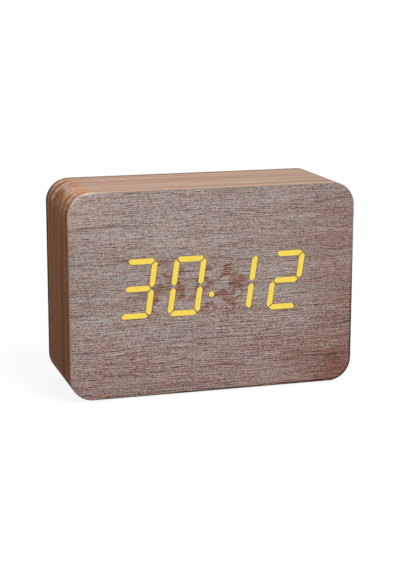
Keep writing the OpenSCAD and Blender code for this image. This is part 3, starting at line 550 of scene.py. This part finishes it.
def side_wood():
    """Warm brown veneer whose grain runs round the block, paler along the top as painted sheen and light."""
    t = Wrap("side_wood", IOR=1.03)
    brown = t.ramp(
        t.tone, (0.36, 122, 71, 43), (0.48, 166, 107, 72),
        (0.55, 180, 121, 82), (0.66, 214, 157, 115),
    )
    # Painted sheen and light: a paler ramp for the top
    painted_pale_light = t.ramp(
        t.tone, (0.36, 138, 103, 84), (0.48, 171, 138, 117),
        (0.55, 181, 150, 129), (0.66, 207, 179, 160),
    )
    colour = broad_shade(t, t.mix(t.top, brown, painted_pale_light))
    colour = bent_corners(t, colour)
    pore = t.step(t.noise(t.grain, (5, 0.5, 1), 1.0), 0.38, 0.26, 0.0, 0.5)
    colour = t.mix(pore, colour, srgb(98, 60, 40))
    colour = side_edges(t, colour)
    roughness = t.step(t.line, 0.3, 0.7, 0.42, 0.55)
    return t.done(colour, roughness, t.total((t.fibre, 0.6), (t.line, 1.0)), 0.03)


def rear_wood():
    """Brown veneer on the rim of the back, with its grain from side to side."""
    t = Finish("rear_wood", IOR=1.42)
    line = t.noise(t.place, (55, 1, 0.8), 2.0, 0.6)
    stripe = t.noise(t.place, (120, 1, 4.5))
    fibre = t.noise(t.place, (8, 1, 0.36), 2.0, 0.6)
    tone = t.total((line, 0.5), (stripe, 0.3), (fibre, 0.2))
    colour = t.ramp(tone, (0.34, 118, 82, 60), (0.5, 150, 108, 81), (0.68, 168, 126, 97))
    return t.done(colour, t.step(line, 0.3, 0.7, 0.45, 0.58), tone, 0.04)


# The other materials

def raw_board():
    """Raw fibreboard: a felt of short fibres."""
    t = Finish("raw_board")
    felt = t.noise(t.place, 1.4, 4.0, 0.7)
    cloud = t.noise(t.place, 14)
    colour = t.ramp(felt, (0.3, 112, 84, 58), (0.5, 146, 115, 82), (0.7, 170, 140, 104))
    colour = t.mix(t.step(cloud, 0.4, 0.7, 0.0, 0.3), colour, srgb(128, 98, 68))
    return t.done(colour, 0.85, felt, 0.12)


def moulded(name, dark, light, roughness, grain, depth=0.02, **sockets):
    """Moulded plastic or rubber with a fine eroded texture and a faint cloud of tone."""
    t = Finish(name, **sockets)
    pebble = t.noise(t.place, grain, 3.0, 0.6)
    cloud = t.noise(t.place, 11)
    colour = t.ramp(t.total((pebble, 0.6), (cloud, 0.4)), (0.35, *dark), (0.65, *light))
    return t.done(colour, t.step(pebble, 0.3, 0.7, roughness - 0.08, roughness + 0.08), pebble, depth)


def metal(name, dark, light, roughness):
    """Bare or plated metal with drawn lines and faint stains."""
    t = Finish(name, Metallic=1.0)
    lines = t.noise(t.place, (6.0, 0.25, 0.25), 2.0, 0.6)
    stain = t.noise(t.place, 5, 3.0)
    colour = t.ramp(t.total((lines, 0.5), (stain, 0.5)), (0.35, *dark), (0.65, *light))
    return t.done(colour, t.step(stain, 0.3, 0.7, roughness - 0.06, roughness + 0.1), lines, 0.006)


def glowing(name, core, deep):
    """A translucent wafer lit from behind: even light with a faint mottle."""
    t = Finish(name, Roughness=0.5, Specular_IOR_Level=0.1, Emission_Strength=1.0)
    mottle = t.noise(t.place, 2.6)
    grit = t.noise(t.place, 0.4)
    colour = t.ramp(t.total((mottle, 0.2), (grit, 0.8)), (0.32, *deep), (0.56, *core))
    t.shade(Base_Color=srgb(40, 30, 6), Emission_Color=colour)
    return t.material


def cell_paper():
    """Printed wrap of a dry cell: two tones with thin lines between them."""
    t = Finish("cell_wrap", Coat_Weight=0.3, Coat_Roughness=0.2)
    along = t.add("ShaderNodeAttribute", attribute_name=ALONG).outputs["Fac"]
    sheen = t.noise(t.place, (6, 0.8, 0.8))
    white = srgb(206, 210, 212)
    colour = t.ramp(sheen, (0.35, 52, 78, 108), (0.65, 74, 102, 134))
    colour = t.mix(t.product(t.belt(along, 0.700, 0.962, 0.002), 0.9), colour, white)
    for start in (0.676, 0.688):
        colour = t.mix(t.belt(along, start, start + 0.006, 0.001), colour, white)
    return t.done(colour, t.step(sheen, 0.3, 0.7, 0.28, 0.4), sheen, 0.01)


def recessed_steel():
    """Plated steel, with painted shade down in the recess of a screw's head."""
    t = Finish("screw_head", Metallic=1.0)
    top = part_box("cover_screws")[1].y / MM
    stain = t.noise(t.place, 3, 3.0)
    colour = t.ramp(stain, (0.35, 164, 166, 170), (0.65, 198, 200, 204))
    # Painted shade in the recess
    colour = t.mix(t.step(t.y, top - 0.15, top - 0.45), colour, srgb(38, 37, 36))
    return t.done(colour, t.step(stain, 0.3, 0.7, 0.28, 0.4), t.noise(t.place, 0.3), 0.004)


def circuit_board():
    """Green solder mask with faint tracks."""
    t = Finish("board_green")
    tracks = t.add("ShaderNodeTexWave", {"Vector": t.place, "Scale": 0.35, "Distortion": 9.0, "Detail": 1.0})
    track = t.step(tracks.outputs["Fac"], 0.55, 0.62)
    weave = t.noise(t.place, 0.6)
    colour = t.mix(t.product(track, 0.6), srgb(12, 66, 38), srgb(26, 98, 56))
    colour = t.mix(t.step(weave, 0.3, 0.7, 0.0, 0.3), colour, srgb(8, 48, 28))
    return t.done(colour, 0.35, track, 0.03)


def ribbon_vinyl():
    """Grey flat cable: one ridge for each of its wires, with painted shade in the grooves between them."""
    t = Finish("ribbon_grey")
    wires = t.ridges(t.x, RIBBON_PITCH)
    cloud = t.noise(t.place, 4)
    # Painted shade: darker in the grooves between the wires
    colour = t.mix(t.step(wires, 0.0, 0.5), srgb(120, 120, 120), srgb(178, 178, 176))
    colour = t.mix(t.step(cloud, 0.4, 0.7, 0.0, 0.25), colour, srgb(150, 150, 148))
    return t.done(colour, 0.5, wires, 0.25)


def wound_copper():
    """Enamelled wire in close turns round the rod."""
    t = Finish("copper", Metallic=0.9)
    stain = t.noise(t.place, 3, 3.0)
    colour = t.ramp(stain, (0.35, 150, 74, 36), (0.65, 206, 124, 70))
    return t.done(colour, 0.32, t.ridges(t.x, COIL_PITCH), 0.2)


# Geometry

def corner_radius(node):
    """The radius of a rounded plate, from where its flat top ends."""
    points = [v.co for v in nodes[node].data.vertices]
    top = max(p.z for p in points)
    return max(p.x for p in points) - max(p.x for p in points if p.z > top - FLUSH)


def centre(node):
    """The (x, z) middle of a node's box."""
    low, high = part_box(node)
    return (low.x + high.x) / 2, (low.z + high.z) / 2


def polar(radius, turn):
    return radius * math.cos(turn), radius * math.sin(turn)


def circle(radius, count=40):
    return [polar(radius, 2 * math.pi * i / count) for i in range(count)]


def shifted(loop, x, z):
    return [(a + x, b + z) for a, b in loop]


def rounded_loop(half_w, half_h, radius, steps=CORNER_STEPS):
    """The (x, z) points of a rounded rectangle, from the middle of its lower side."""
    loop = [(0.0, -half_h)]
    for quarter, (sx, sz) in enumerate(((1, -1), (1, 1), (-1, 1), (-1, -1))):
        for i in range(steps + 1):
            turn = math.radians(90 * (quarter - 1 + i / steps))
            x, z = polar(radius, turn)
            loop.append((sx * (half_w - radius) + x, sz * (half_h - radius) + z))
    return loop


def quarter_round(radius, y_start, toward, steps):
    """(inset, y) pairs that round an edge over, from the side to the face."""
    pairs = []
    for i in range(steps + 1):
        turn = math.pi / 2 * i / steps
        pairs.append((radius * (1 - math.cos(turn)), y_start + toward * radius * math.sin(turn)))
    return pairs


def add_band(bm, low, high, radius, profile):
    """Faces along a rounded rectangle through the (inset, y) pairs; returns the rings of points."""
    middle, half = (low + high) / 2, (high - low) / 2
    uv = bm.loops.layers.uv.new(GRAIN)
    outline = rounded_loop(half.x, half.z, radius)
    count = len(outline)
    run = [0.0]
    for a, b in zip(outline, outline[1:] + outline[:1]):
        run.append(run[-1] + math.dist(a, b))
    rings, depths = [], [0.0]
    for k, (inset, y) in enumerate(profile):
        loop = rounded_loop(half.x - inset, half.z - inset, radius - inset)
        rings.append(add_ring(bm, shifted(loop, middle.x, middle.z), y))
        if k:
            depths.append(depths[-1] + math.dist(profile[k - 1], profile[k]))
    for k in range(len(rings) - 1):
        for i in range(count):
            j = (i + 1) % count
            face = bm.faces.new((rings[k][i], rings[k][j], rings[k + 1][j], rings[k + 1][i]))
            corners = ((i, k), (i + 1, k), (i + 1, k + 1), (i, k + 1))
            for loop, (a, b) in zip(face.loops, corners):
                loop[uv].uv = (run[a], depths[b])
    return rings


def anticlockwise(loop):
    """The same outline, turned round if its points run clockwise."""
    area = sum(a[0] * b[1] - b[0] * a[1] for a, b in zip(loop, loop[1:] + loop[:1]))
    return loop if area > 0 else loop[::-1]


def welded(node):
    """A bmesh of a node's solids, with their points joined."""
    bm = bmesh.new()
    bm.from_mesh(nodes[node].data)
    bmesh.ops.remove_doubles(bm, verts=bm.verts, dist=WELD)
    return bm


def front_loops(node):
    """The (x, z) outlines of the faces at the front of a node's solids."""
    bm = welded(node)
    front = min(v.co.y for v in bm.verts) + FLUSH
    hidden = [f for f in bm.faces if max(v.co.y for v in f.verts) > front]
    bmesh.ops.delete(bm, geom=hidden, context="FACES")
    bmesh.ops.dissolve_faces(bm, faces=bm.faces[:])
    loops = [[(v.co.x, v.co.z) for v in f.verts] for f in bm.faces]
    bm.free()
    return [anticlockwise(loop) for loop in loops]


def grown(loop, amount):
    """An outline moved outwards by a small amount."""
    out = []
    for before, here, after in zip(loop[-1:] + loop[:-1], loop, loop[1:] + loop[:1]):
        a = Vector((here[0] - before[0], here[1] - before[1])).normalized()
        b = Vector((after[0] - here[0], after[1] - here[1])).normalized()
        normal_a, normal_b = Vector((a.y, -a.x)), Vector((b.y, -b.x))
        shift = (normal_a + normal_b) * (amount / (1 + normal_a.dot(normal_b)))
        out.append((here[0] + shift.x, here[1] + shift.y))
    return out


def add_ring(bm, loop, y):
    return [bm.verts.new((x, y, z)) for x, z in loop]


def join_rings(bm, rings, material=0):
    """Faces from each ring of points to the next."""
    for a, b in zip(rings, rings[1:]):
        for i in range(len(a)):
            j = (i + 1) % len(a)
            bm.faces.new((a[i], a[j], b[j], b[i])).material_index = material


def close_rings(bm, rings):
    """Faces along the rings of points, and over the first and the last."""
    join_rings(bm, rings)
    bm.faces.new(rings[0])
    bm.faces.new(rings[-1])


def ring_edges(bm, ring):
    pairs = zip(ring, ring[1:] + ring[:1])
    return [bm.edges.get(pair) or bm.edges.new(pair) for pair in pairs]


def fill(bm, edges, normal):
    """Faces over the flat area inside the edges."""
    bmesh.ops.triangle_fill(bm, edges=edges, use_beauty=True, normal=normal)


def scene_object(name, data):
    made = bpy.data.objects.new(name, data)
    bpy.context.scene.collection.objects.link(made)
    return made


def finished(bm, name, materials, sharp=30.0):
    """An object from a bmesh, with its faces outwards and edges of more than sharp degrees kept."""
    bmesh.ops.recalc_face_normals(bm, faces=bm.faces[:])
    mesh = bpy.data.meshes.new(name)
    bm.to_mesh(mesh)
    bm.free()
    for material in materials:
        mesh.materials.append(material)
    mesh.polygons.foreach_set("use_smooth", [True] * len(mesh.polygons))
    mesh.set_sharp_from_angle(angle=math.radians(sharp))
    return scene_object(name, mesh)


def dress(piece, slot, body, *replaced):
    """The piece rides on a body and stands for the replaced nodes, which are hidden; the slot is not used.
    """
    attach(piece, body)
    if replaced:
        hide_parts(*replaced)


def softened(node, material, width):
    """A copy of a node with rounded edges and flat faces."""
    bm = welded(node)
    flat = math.radians(FLAT_ANGLE)
    bmesh.ops.dissolve_limit(bm, angle_limit=flat, verts=bm.verts[:], edges=bm.edges[:])
    piece = finished(bm, node + "_piece", [material], EDGE_ANGLE)
    bevel = piece.modifiers.new("edges", "BEVEL")
    bevel.width = width
    bevel.segments = EDGE_STEPS
    bevel.limit_method = "ANGLE"
    bevel.angle_limit = math.radians(EDGE_ANGLE)
    bevel.miter_outer = "MITER_ARC"
    piece.modifiers.new("joined", "WELD").merge_threshold = FLUSH
    normals = piece.modifiers.new("normals", "WEIGHTED_NORMAL")
    normals.weight = 100
    normals.keep_sharp = True
    return piece


# The block

def make_front(wood, edge, shadow):
    """The front leaf: rounded over at its border, with a window for each lit segment."""
    low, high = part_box("front_veneer")
    edge_slot, shadow_slot = 1, 2
    bm = bmesh.new()
    profile = [(0.0, high.y)] + quarter_round(FRONT_EDGE, low.y + FRONT_EDGE, -1, FRONT_STEPS)
    rings = add_band(bm, low, high, corner_radius("front_veneer"), profile)
    for face in bm.faces:
        face.material_index = edge_slot
    edges = ring_edges(bm, rings[-1])
    back_edges = ring_edges(bm, rings[0])
    for loop in front_loops("lit_segments"):
        outer = add_ring(bm, grown(loop, WINDOW_RING), low.y)
        inner = add_ring(bm, grown(loop, WINDOW_GAP), low.y + WINDOW_RING / 2)
        deep = add_ring(bm, grown(loop, WINDOW_GAP), high.y)
        join_rings(bm, [outer, inner, deep], shadow_slot)
        edges += ring_edges(bm, outer)
        back_edges += ring_edges(bm, deep)
    fill(bm, edges, TO_FRONT)
    fill(bm, back_edges, -TO_FRONT)
    return finished(bm, "front_leaf", [wood, edge, shadow], 15.0)


def make_wrap(wood):
    """The leaf round the four sides, rounded over at the back."""
    low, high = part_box("side_veneer")
    inner, rear = (edge.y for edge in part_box("rear_veneer"))
    leaf = high.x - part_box("core_block")[1].x
    bm = bmesh.new()
    profile = [(0.0, low.y)] + quarter_round(REAR_EDGE, rear - REAR_EDGE, 1, REAR_STEPS)
    profile += [(REAR_EDGE, inner), (leaf, inner), (leaf, low.y)]
    rings = add_band(bm, low, high, corner_radius("front_veneer"), profile)
    join_rings(bm, [rings[-1], rings[0]])
    return finished(bm, "side_leaf", [wood])


def make_rim(wood):
    """The leaf on the rim of the back, down to the rebate of the cover."""
    low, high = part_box("rear_veneer")
    cover_low, cover_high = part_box("back_cover")
    bm = bmesh.new()
    profile = [(REAR_EDGE, low.y), (REAR_EDGE, high.y)]
    back, outer = add_band(bm, low, high, corner_radius("front_veneer"), profile)
    half = (cover_high - cover_low) / 2
    loop = rounded_loop(half.x + COVER_GAP, half.z + COVER_GAP, corner_radius("back_cover") + COVER_GAP)
    opening = shifted(loop, 0, (low.z + high.z) / 2)
    inner = add_ring(bm, grown(opening, RIM_EDGE), high.y)
    turned = add_ring(bm, opening, high.y - RIM_EDGE)
    deep = add_ring(bm, opening, low.y)
    join_rings(bm, [outer, inner, turned, deep, back])
    return finished(bm, "rear_leaf", [wood])


def make_wafers(core, rim):
    """The lit wafers, with a slightly deeper tone along their rims."""
    low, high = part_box("lit_segments")
    rim_slot = 1
    bm = bmesh.new()
    for loop in front_loops("lit_segments"):
        back = add_ring(bm, loop, high.y)
        front = add_ring(bm, loop, low.y + WAFER_RISE)
        inner = add_ring(bm, grown(loop, -WAFER_RIM), low.y)
        join_rings(bm, [back, front, inner], rim_slot)
        bm.faces.new(inner)
        bm.faces.new(back[::-1])
    return finished(bm, "lit_wafers", [core, rim])


# The signs, each a list of outlines in millimetres that may have a hole

def oblong(width, height):
    w, h = width / 2, height / 2
    return [(-w, -h), (w, -h), (w, h), (-w, h)]


def cross(size, arm):
    a, s = arm / 2, size / 2
    quarter = [(a, -s), (a, -a), (s, -a)]
    points = []
    for _ in range(4):
        points += quarter
        quarter = [(-z, x) for x, z in quarter]
    return points


def arc(radius, width, spread, count=14):
    """A bent bar, upright above its centre."""
    turns = [math.radians(90 - spread / 2 + spread * i / count) for i in range(count + 1)]
    outer = [polar(radius + width / 2, turn) for turn in turns]
    return outer + [polar(radius - width / 2, turn) for turn in reversed(turns)]


def gear(teeth=8, radius=1.5, depth=0.32, bore=0.62, steps=6):
    """A cog's outline and the hole in its middle."""
    count = teeth * steps
    sizes = [radius if i % steps < steps / 2 else radius - depth for i in range(count)]
    outer = [polar(size, 2 * math.pi * i / count) for i, size in enumerate(sizes)]
    return [outer, circle(bore, count)]


def bell():
    """A bell's outline: flare, dome, and the same flare at the left."""
    flare = [(1.35, -0.95), (1.35, -0.75), (1.0, -0.45)]
    turns = [math.radians(t) for t in range(0, 181, 12)]
    dome = [(0.85 * math.cos(t), 0.35 + 0.95 * math.sin(t)) for t in turns]
    return flare + dome + [(-x, z) for x, z in reversed(flare)]


def key_signs():
    """The sign on each button."""
    waves = [[shifted(arc(radius, STROKE, 96), 0, WAVE_FOOT)] for radius in (1.0, 1.85, 2.7)]
    return {
        "set": [gear()],
        "alarm": [[bell()], [shifted(circle(0.34, 20), 0, -1.36)]],
        "up": [[cross(SIGN_SIZE, STROKE)]],
        "down": [[oblong(SIGN_SIZE, STROKE)]],
        "wave": waves + [[shifted(circle(0.36, 20), 0, WAVE_FOOT)]],
    }


def polarity_sign():
    """A ringed minus and a ringed plus, with lines from them to a dot in its open ring."""
    outlines = []
    for x, mark in ((-POLARITY_REACH, oblong), (POLARITY_REACH, cross)):
        outlines.append([shifted(circle(radius), x, 0) for radius in (1.5, 1.15)])
        outlines.append([shifted(mark(1.4, FINE_STROKE), x, 0)])
    for x, length in ((-2.3, 1.6), (1.95, 2.3)):
        outlines.append([shifted(oblong(length, FINE_STROKE), x, 0)])
    outlines.append([circle(0.55, 24)])
    outlines.append([[(-z, x) for x, z in arc(1.35, FINE_STROKE, 260)]])
    return outlines


def make_sign(name, outlines, at, y, body, material):
    """A sign moulded just proud of the surface that carries it."""
    bm = bmesh.new()
    for loops in outlines:
        feet, tops = [], []
        for loop, side in zip(loops, (-1, 1)):
            spot = anticlockwise([(at[0] + x * MM, at[1] + z * MM) for x, z in loop])
            feet.append(add_ring(bm, spot, y - SIGN_RISE))
            tops.append(add_ring(bm, grown(spot, side * SIGN_RISE / 2), y + SIGN_RISE))
            join_rings(bm, [feet[-1], tops[-1]])
        for rings, normal in ((tops, -TO_FRONT), (feet, TO_FRONT)):
            if len(rings) == 1:
                fill(bm, ring_edges(bm, rings[0]), normal)
            else:
                join_rings(bm, rings)
    dress(finished(bm, name, [material]), "film_white", body)


def make_signs(material):
    """The signs on the buttons, beside the switch, over the inlet and on the door."""
    for key, outlines in key_signs().items():
        button = key + "_button"
        make_sign(key + "_sign", outlines, centre(button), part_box(button)[1].y, key + "_key", material)
    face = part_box("back_cover")[1].y
    x, z = centre("slide_switch")
    make_sign("on_sign", [[oblong(STROKE, 2.2)]], (x - SWITCH_SIGN_OFF, z), face, "root", material)
    make_sign("off_sign", [[circle(1.1), circle(0.65)]], (x + SWITCH_SIGN_OFF, z), face, "root", material)
    at = (centre("dc_jack")[0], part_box("dc_jack")[1].z + POLARITY_RISE)
    make_sign("polarity_sign", polarity_sign(), at, face, "root", material)
    at = (centre("battery_door")[0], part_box("battery_door")[1].z - DOOR_SIGN_DROP)
    make_sign("door_sign", [[[(0, 1.3), (-1.6, -1.0), (1.6, -1.0)]]], at, face, "door", material)


# The cells and their springs

def measure_cell(node):
    """A cell's flat end, the way from it to its button, and the sizes of its parts."""
    low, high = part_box(node)
    middle = (low + high) / 2
    radius = (high.z - low.z) / 2
    points = [v.co for v in nodes[node].data.vertices]
    wide = [p.x for p in points if math.dist(p.yz, middle.yz) > radius * 0.9]
    rightward = high.x - max(wide) > FLUSH
    flat_x, tip_x = (low.x, high.x) if rightward else (high.x, low.x)
    return Cell(
        flat=Vector((flat_x, middle.y, middle.z)),
        way=Vector((1 if rightward else -1, 0, 0)),
        length=high.x - low.x,
        radius=radius,
        button=max(abs(p.z - middle.z) for p in points if abs(p.x - tip_x) < FLUSH),
        body=max(wide) - min(wide),
    )


def turn_cell(bm, profile, cell, steps=48):
    """Faces of a turned shape: rows of (distance from the flat end, radius, material)."""
    up = Vector((0, 0, 1))
    side = cell.way.cross(up)
    along = bm.verts.layers.float.new(ALONG)
    before = None
    for distance, radius, material in profile:
        spots = circle(radius, steps if radius > 0 else 1)
        middle = cell.flat + cell.way * distance
        ring = [bm.verts.new(middle + up * a + side * b) for a, b in spots]
        for vert in ring:
            vert[along] = distance / profile[-1][0]
        if before:
            for i in range(steps):
                j = (i + 1) % steps
                corners = [before[i % len(before)], before[j % len(before)]]
                corners += [ring[j % len(ring)], ring[i % len(ring)]]
                bm.faces.new(list(dict.fromkeys(corners))).material_index = material
        before = ring


def make_cell(node, materials):
    """A dry cell: crimped wrap, flat end, insulating ring and button."""
    cell = measure_cell(node)
    r, button, body, length = cell.radius, cell.button, cell.body, cell.length
    wrap, steel, ring = 0, 1, 2
    flat_end = [
        (0, 0, steel), (0, 0.60 * r, steel), (0.3 * MM, 0.64 * r, steel), (0.3 * MM, 0.80 * r, ring),
    ]
    side = [
        (0.12 * MM, 0.86 * r, wrap), (0, 0.91 * r, wrap), (0.08 * MM, 0.97 * r, wrap), (0.4 * MM, r, wrap),
        (body / 2, r, wrap), (body - 0.6 * MM, r, wrap), (body - 0.15 * MM, 0.97 * r, wrap),
        (body, 0.90 * r, wrap), (body - 0.2 * MM, 0.83 * r, wrap), (body - 0.4 * MM, 0.80 * r, ring),
    ]
    button_end = [
        (body - 0.4 * MM, button + 0.5 * MM, ring), (body - 0.15 * MM, button + 0.3 * MM, steel),
        (body, button, steel), (length - 0.3 * MM, button - 0.05 * MM, steel),
        (length - 0.08 * MM, button - 0.2 * MM, steel), (length, button - 0.5 * MM, steel),
        (length, 0, steel),
    ]
    bm = bmesh.new()
    turn_cell(bm, flat_end + side + button_end, cell)
    dress(finished(bm, node + "_piece", materials), "cell_wrap", "root", node)


def add_wire(bm, path, radius, count=8):
    """A round wire along a path of points."""
    rings = []
    for i, point in enumerate(path):
        ahead = (path[min(i + 1, len(path) - 1)] - path[max(i - 1, 0)]).normalized()
        a = ahead.cross(Vector((1, 0, 0))).normalized()
        b = ahead.cross(a)
        rings.append([bm.verts.new(point + a * u + b * v) for u, v in circle(radius, count)])
    close_rings(bm, rings)


def add_plate(bm, x_low, x_high, loop):
    """A thin plate across the X axis, with its (y, z) outline and small rounded edges."""
    edge = (x_high - x_low) / 4
    rows = []
    for x, inset in ((x_low, edge), (x_low + edge, 0.0), (x_high - edge, 0.0), (x_high, edge)):
        rows.append([bm.verts.new((x, y, z)) for y, z in grown(loop, -inset)])
    close_rings(bm, rows)


def spring_path(cell, face):
    """The line of a cone of wire, from the face of its strip to its cell's flat end."""
    start, end = face + cell.way.x * WIRE_R, cell.flat.x - cell.way.x * WIRE_R
    path = []
    for i in range(WIRE_STEPS * WIRE_TURNS + 1):
        rise = (i / WIRE_STEPS - WIRE_FLAT) / (WIRE_TURNS - 2 * WIRE_FLAT)
        rise = max(0.0, min(1.0, rise))
        radius = (STRIP_W / 2 - WIRE_R) * (1 - rise) + cell.button * rise
        y, z = polar(radius, 2 * math.pi * i / WIRE_STEPS)
        path.append(Vector((start + (end - start) * rise, cell.flat.y + y, cell.flat.z + z)))
    return path


def make_springs(material):
    """A strip with a cone of wire at each cell's flat end, and the last strip's tail."""
    low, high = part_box("battery_springs")
    outline = rounded_loop(STRIP_W / 2, STRIP_W / 2, STRIP_R, STRIP_STEPS)
    bm = bmesh.new()
    for node in CELLS:
        cell = measure_cell(node)
        wall = low.x if cell.way.x > 0 else high.x
        face = wall + cell.way.x * STRIP_T
        add_plate(bm, min(wall, face), max(wall, face), shifted(outline, cell.flat.y, cell.flat.z))
        add_wire(bm, spring_path(cell, face), WIRE_R)
    foot = [v.co.z for v in nodes["battery_springs"].data.vertices if v.co.y < low.y + FLUSH]
    top = cell.flat.y
    tail = [(low.y, min(foot)), (top, min(foot)), (top, max(foot)), (low.y, max(foot))]
    add_plate(bm, low.x, low.x + STRIP_T, tail)
    piece = finished(bm, "battery_springs_piece", [material], EDGE_ANGLE)
    dress(piece, "contact_steel", "root", "battery_springs")


# The scene

def make_camera():
    """The photo's view of the middle of the block."""
    low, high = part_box("side_veneer")
    middle = Vector((0, 0, (low.z + high.z) / 2))
    a, e = math.radians(CAMERA_AZIMUTH), math.radians(CAMERA_ELEVATION)
    back = Vector((math.sin(a) * math.cos(e), -math.cos(a) * math.cos(e), math.sin(e)))
    right = Vector((math.cos(a), math.sin(a), 0))
    up = back.cross(right)
    data = bpy.data.cameras.new("camera")
    data.lens = CAMERA_LENS
    data.clip_start = CAMERA_NEAR
    camera = scene_object("camera", data)
    turn = Matrix((right, up, back)).transposed().to_4x4()
    spot = middle + right * AIM_RIGHT + up * AIM_UP + back * CAMERA_DISTANCE
    roll = Matrix.Rotation(math.radians(CAMERA_ROLL), 4, "Z")
    camera.matrix_world = Matrix.Translation(spot) @ turn @ roll
    bpy.context.scene.camera = camera


def make_lamp(name, way, level, spread):
    """A far soft lamp that lights a white surface facing it to the given level."""
    data = bpy.data.lights.new(name, "SUN")
    data.energy = level * math.pi
    data.angle = math.radians(spread)
    lamp = scene_object(name, data)
    lamp.matrix_world = Vector(way).to_track_quat("Z", "Y").to_matrix().to_4x4()


def make_world():
    """A background that looks white and lights the object evenly at a lower level."""
    world = bpy.data.worlds.new("studio")
    world.use_nodes = True
    t = Tree(world.node_tree)
    level = t.math("MULTIPLY_ADD", t.seen_directly(), 1 - AMBIENT_LEVEL, AMBIENT_LEVEL)
    t.feed(t.tree.nodes["Background"], {"Color": (1, 1, 1, 1), "Strength": level})
    bpy.context.scene.world = world


def make_floor():
    """A pale floor that looks white and keeps the object's soft shadow."""
    bm = bmesh.new()
    bmesh.ops.create_grid(bm, x_segments=FLOOR_PARTS, y_segments=FLOOR_PARTS, size=FLOOR_REACH)
    bmesh.ops.translate(bm, verts=bm.verts, vec=(0, 0, -FLOOR_DROP))
    t = Finish("floor", Base_Color=(FLOOR_COLOUR,) * 3 + (1,), Roughness=0.9)
    glow = t.add("ShaderNodeEmission", {"Strength": FLOOR_GLOW}).outputs[0]
    tint = t.add("ShaderNodeBsdfDiffuse", {"Color": (FLOOR_TONE,) * 3 + (1,)}).outputs[0]
    seen = t.add("ShaderNodeAddShader", {0: glow, 1: tint}).outputs[0]
    mixed = t.add("ShaderNodeMixShader", {0: t.seen_directly(), 1: t.shader.outputs[0], 2: seen})
    t.feed(t.tree.nodes["Material Output"], {"Surface": mixed.outputs[0]})
    floor = finished(bm, "floor", [t.material])


def make_materials():
    """The finish of each of the record's slots."""
    finish = {name: moulded(name, *look) for name, look in MOULDED.items()}
    finish.update({name: metal(name, *look) for name, look in METALS.items()})
    finish.update({
        "veneer_front": front_wood(),
        "veneer_side": side_wood(),
        "fibreboard": raw_board(),
        "display_yellow": glowing("display_yellow", (247, 217, 89), (233, 204, 80)),
        "board_green": circuit_board(),
        "ribbon_grey": ribbon_vinyl(),
        "copper": wound_copper(),
        "cell_wrap": cell_paper(),
    })
    return finish


def finish_solids(finish):
    """Every CAD node that stays in view gets the finish of its slot."""
    for node, slot in slots.items():
        mesh = nodes[node].data
        mesh.materials.clear()
        mesh.materials.append(finish[slot])


def make_block(finish):
    """The three leaves of wood and the lit wafers in the front."""
    shadow = moulded("window_edge", (38, 29, 21), (56, 43, 32), 0.8, 0.4, IOR=1.2)
    front = make_front(finish["veneer_front"], edge_wood(), shadow)
    dress(front, "veneer_front", "root", "front_veneer", "dark_segments")
    dress(make_wrap(finish["veneer_side"]), "veneer_side", "root", "side_veneer")
    dress(make_rim(rear_wood()), "veneer_side", "root", "rear_veneer")
    rim = glowing("display_rim", (233, 204, 112), (216, 186, 96))
    dress(make_wafers(finish["display_yellow"], rim), "display_yellow", "root", "lit_segments")


def make_back(finish):
    """The back's pieces with rounded edges, its signs, and the cells with their springs."""
    special = {"cover_screws": recessed_steel()}
    for node, width in EDGE_WIDTHS.items():
        piece = softened(node, special.get(node, finish[slots[node]]), width * MM)
        dress(piece, slots[node], nodes[node]["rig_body"], node)
    make_signs(finish["film_white"])
    for node in CELLS:
        make_cell(node, [finish["cell_wrap"], finish["contact_steel"], finish["shade_white"]])
    make_springs(finish["contact_steel"])


def main():
    make_camera()
    make_world()
    make_floor()
    make_lamp("key", KEY_WAY, KEY_LEVEL, KEY_SPREAD)
    make_lamp("fill", FILL_WAY, FILL_LEVEL, FILL_SPREAD)
    bpy.context.scene.view_settings.view_transform = "Standard"
    finish = make_materials()
    finish_solids(finish)
    make_block(finish)
    make_back(finish)


main()
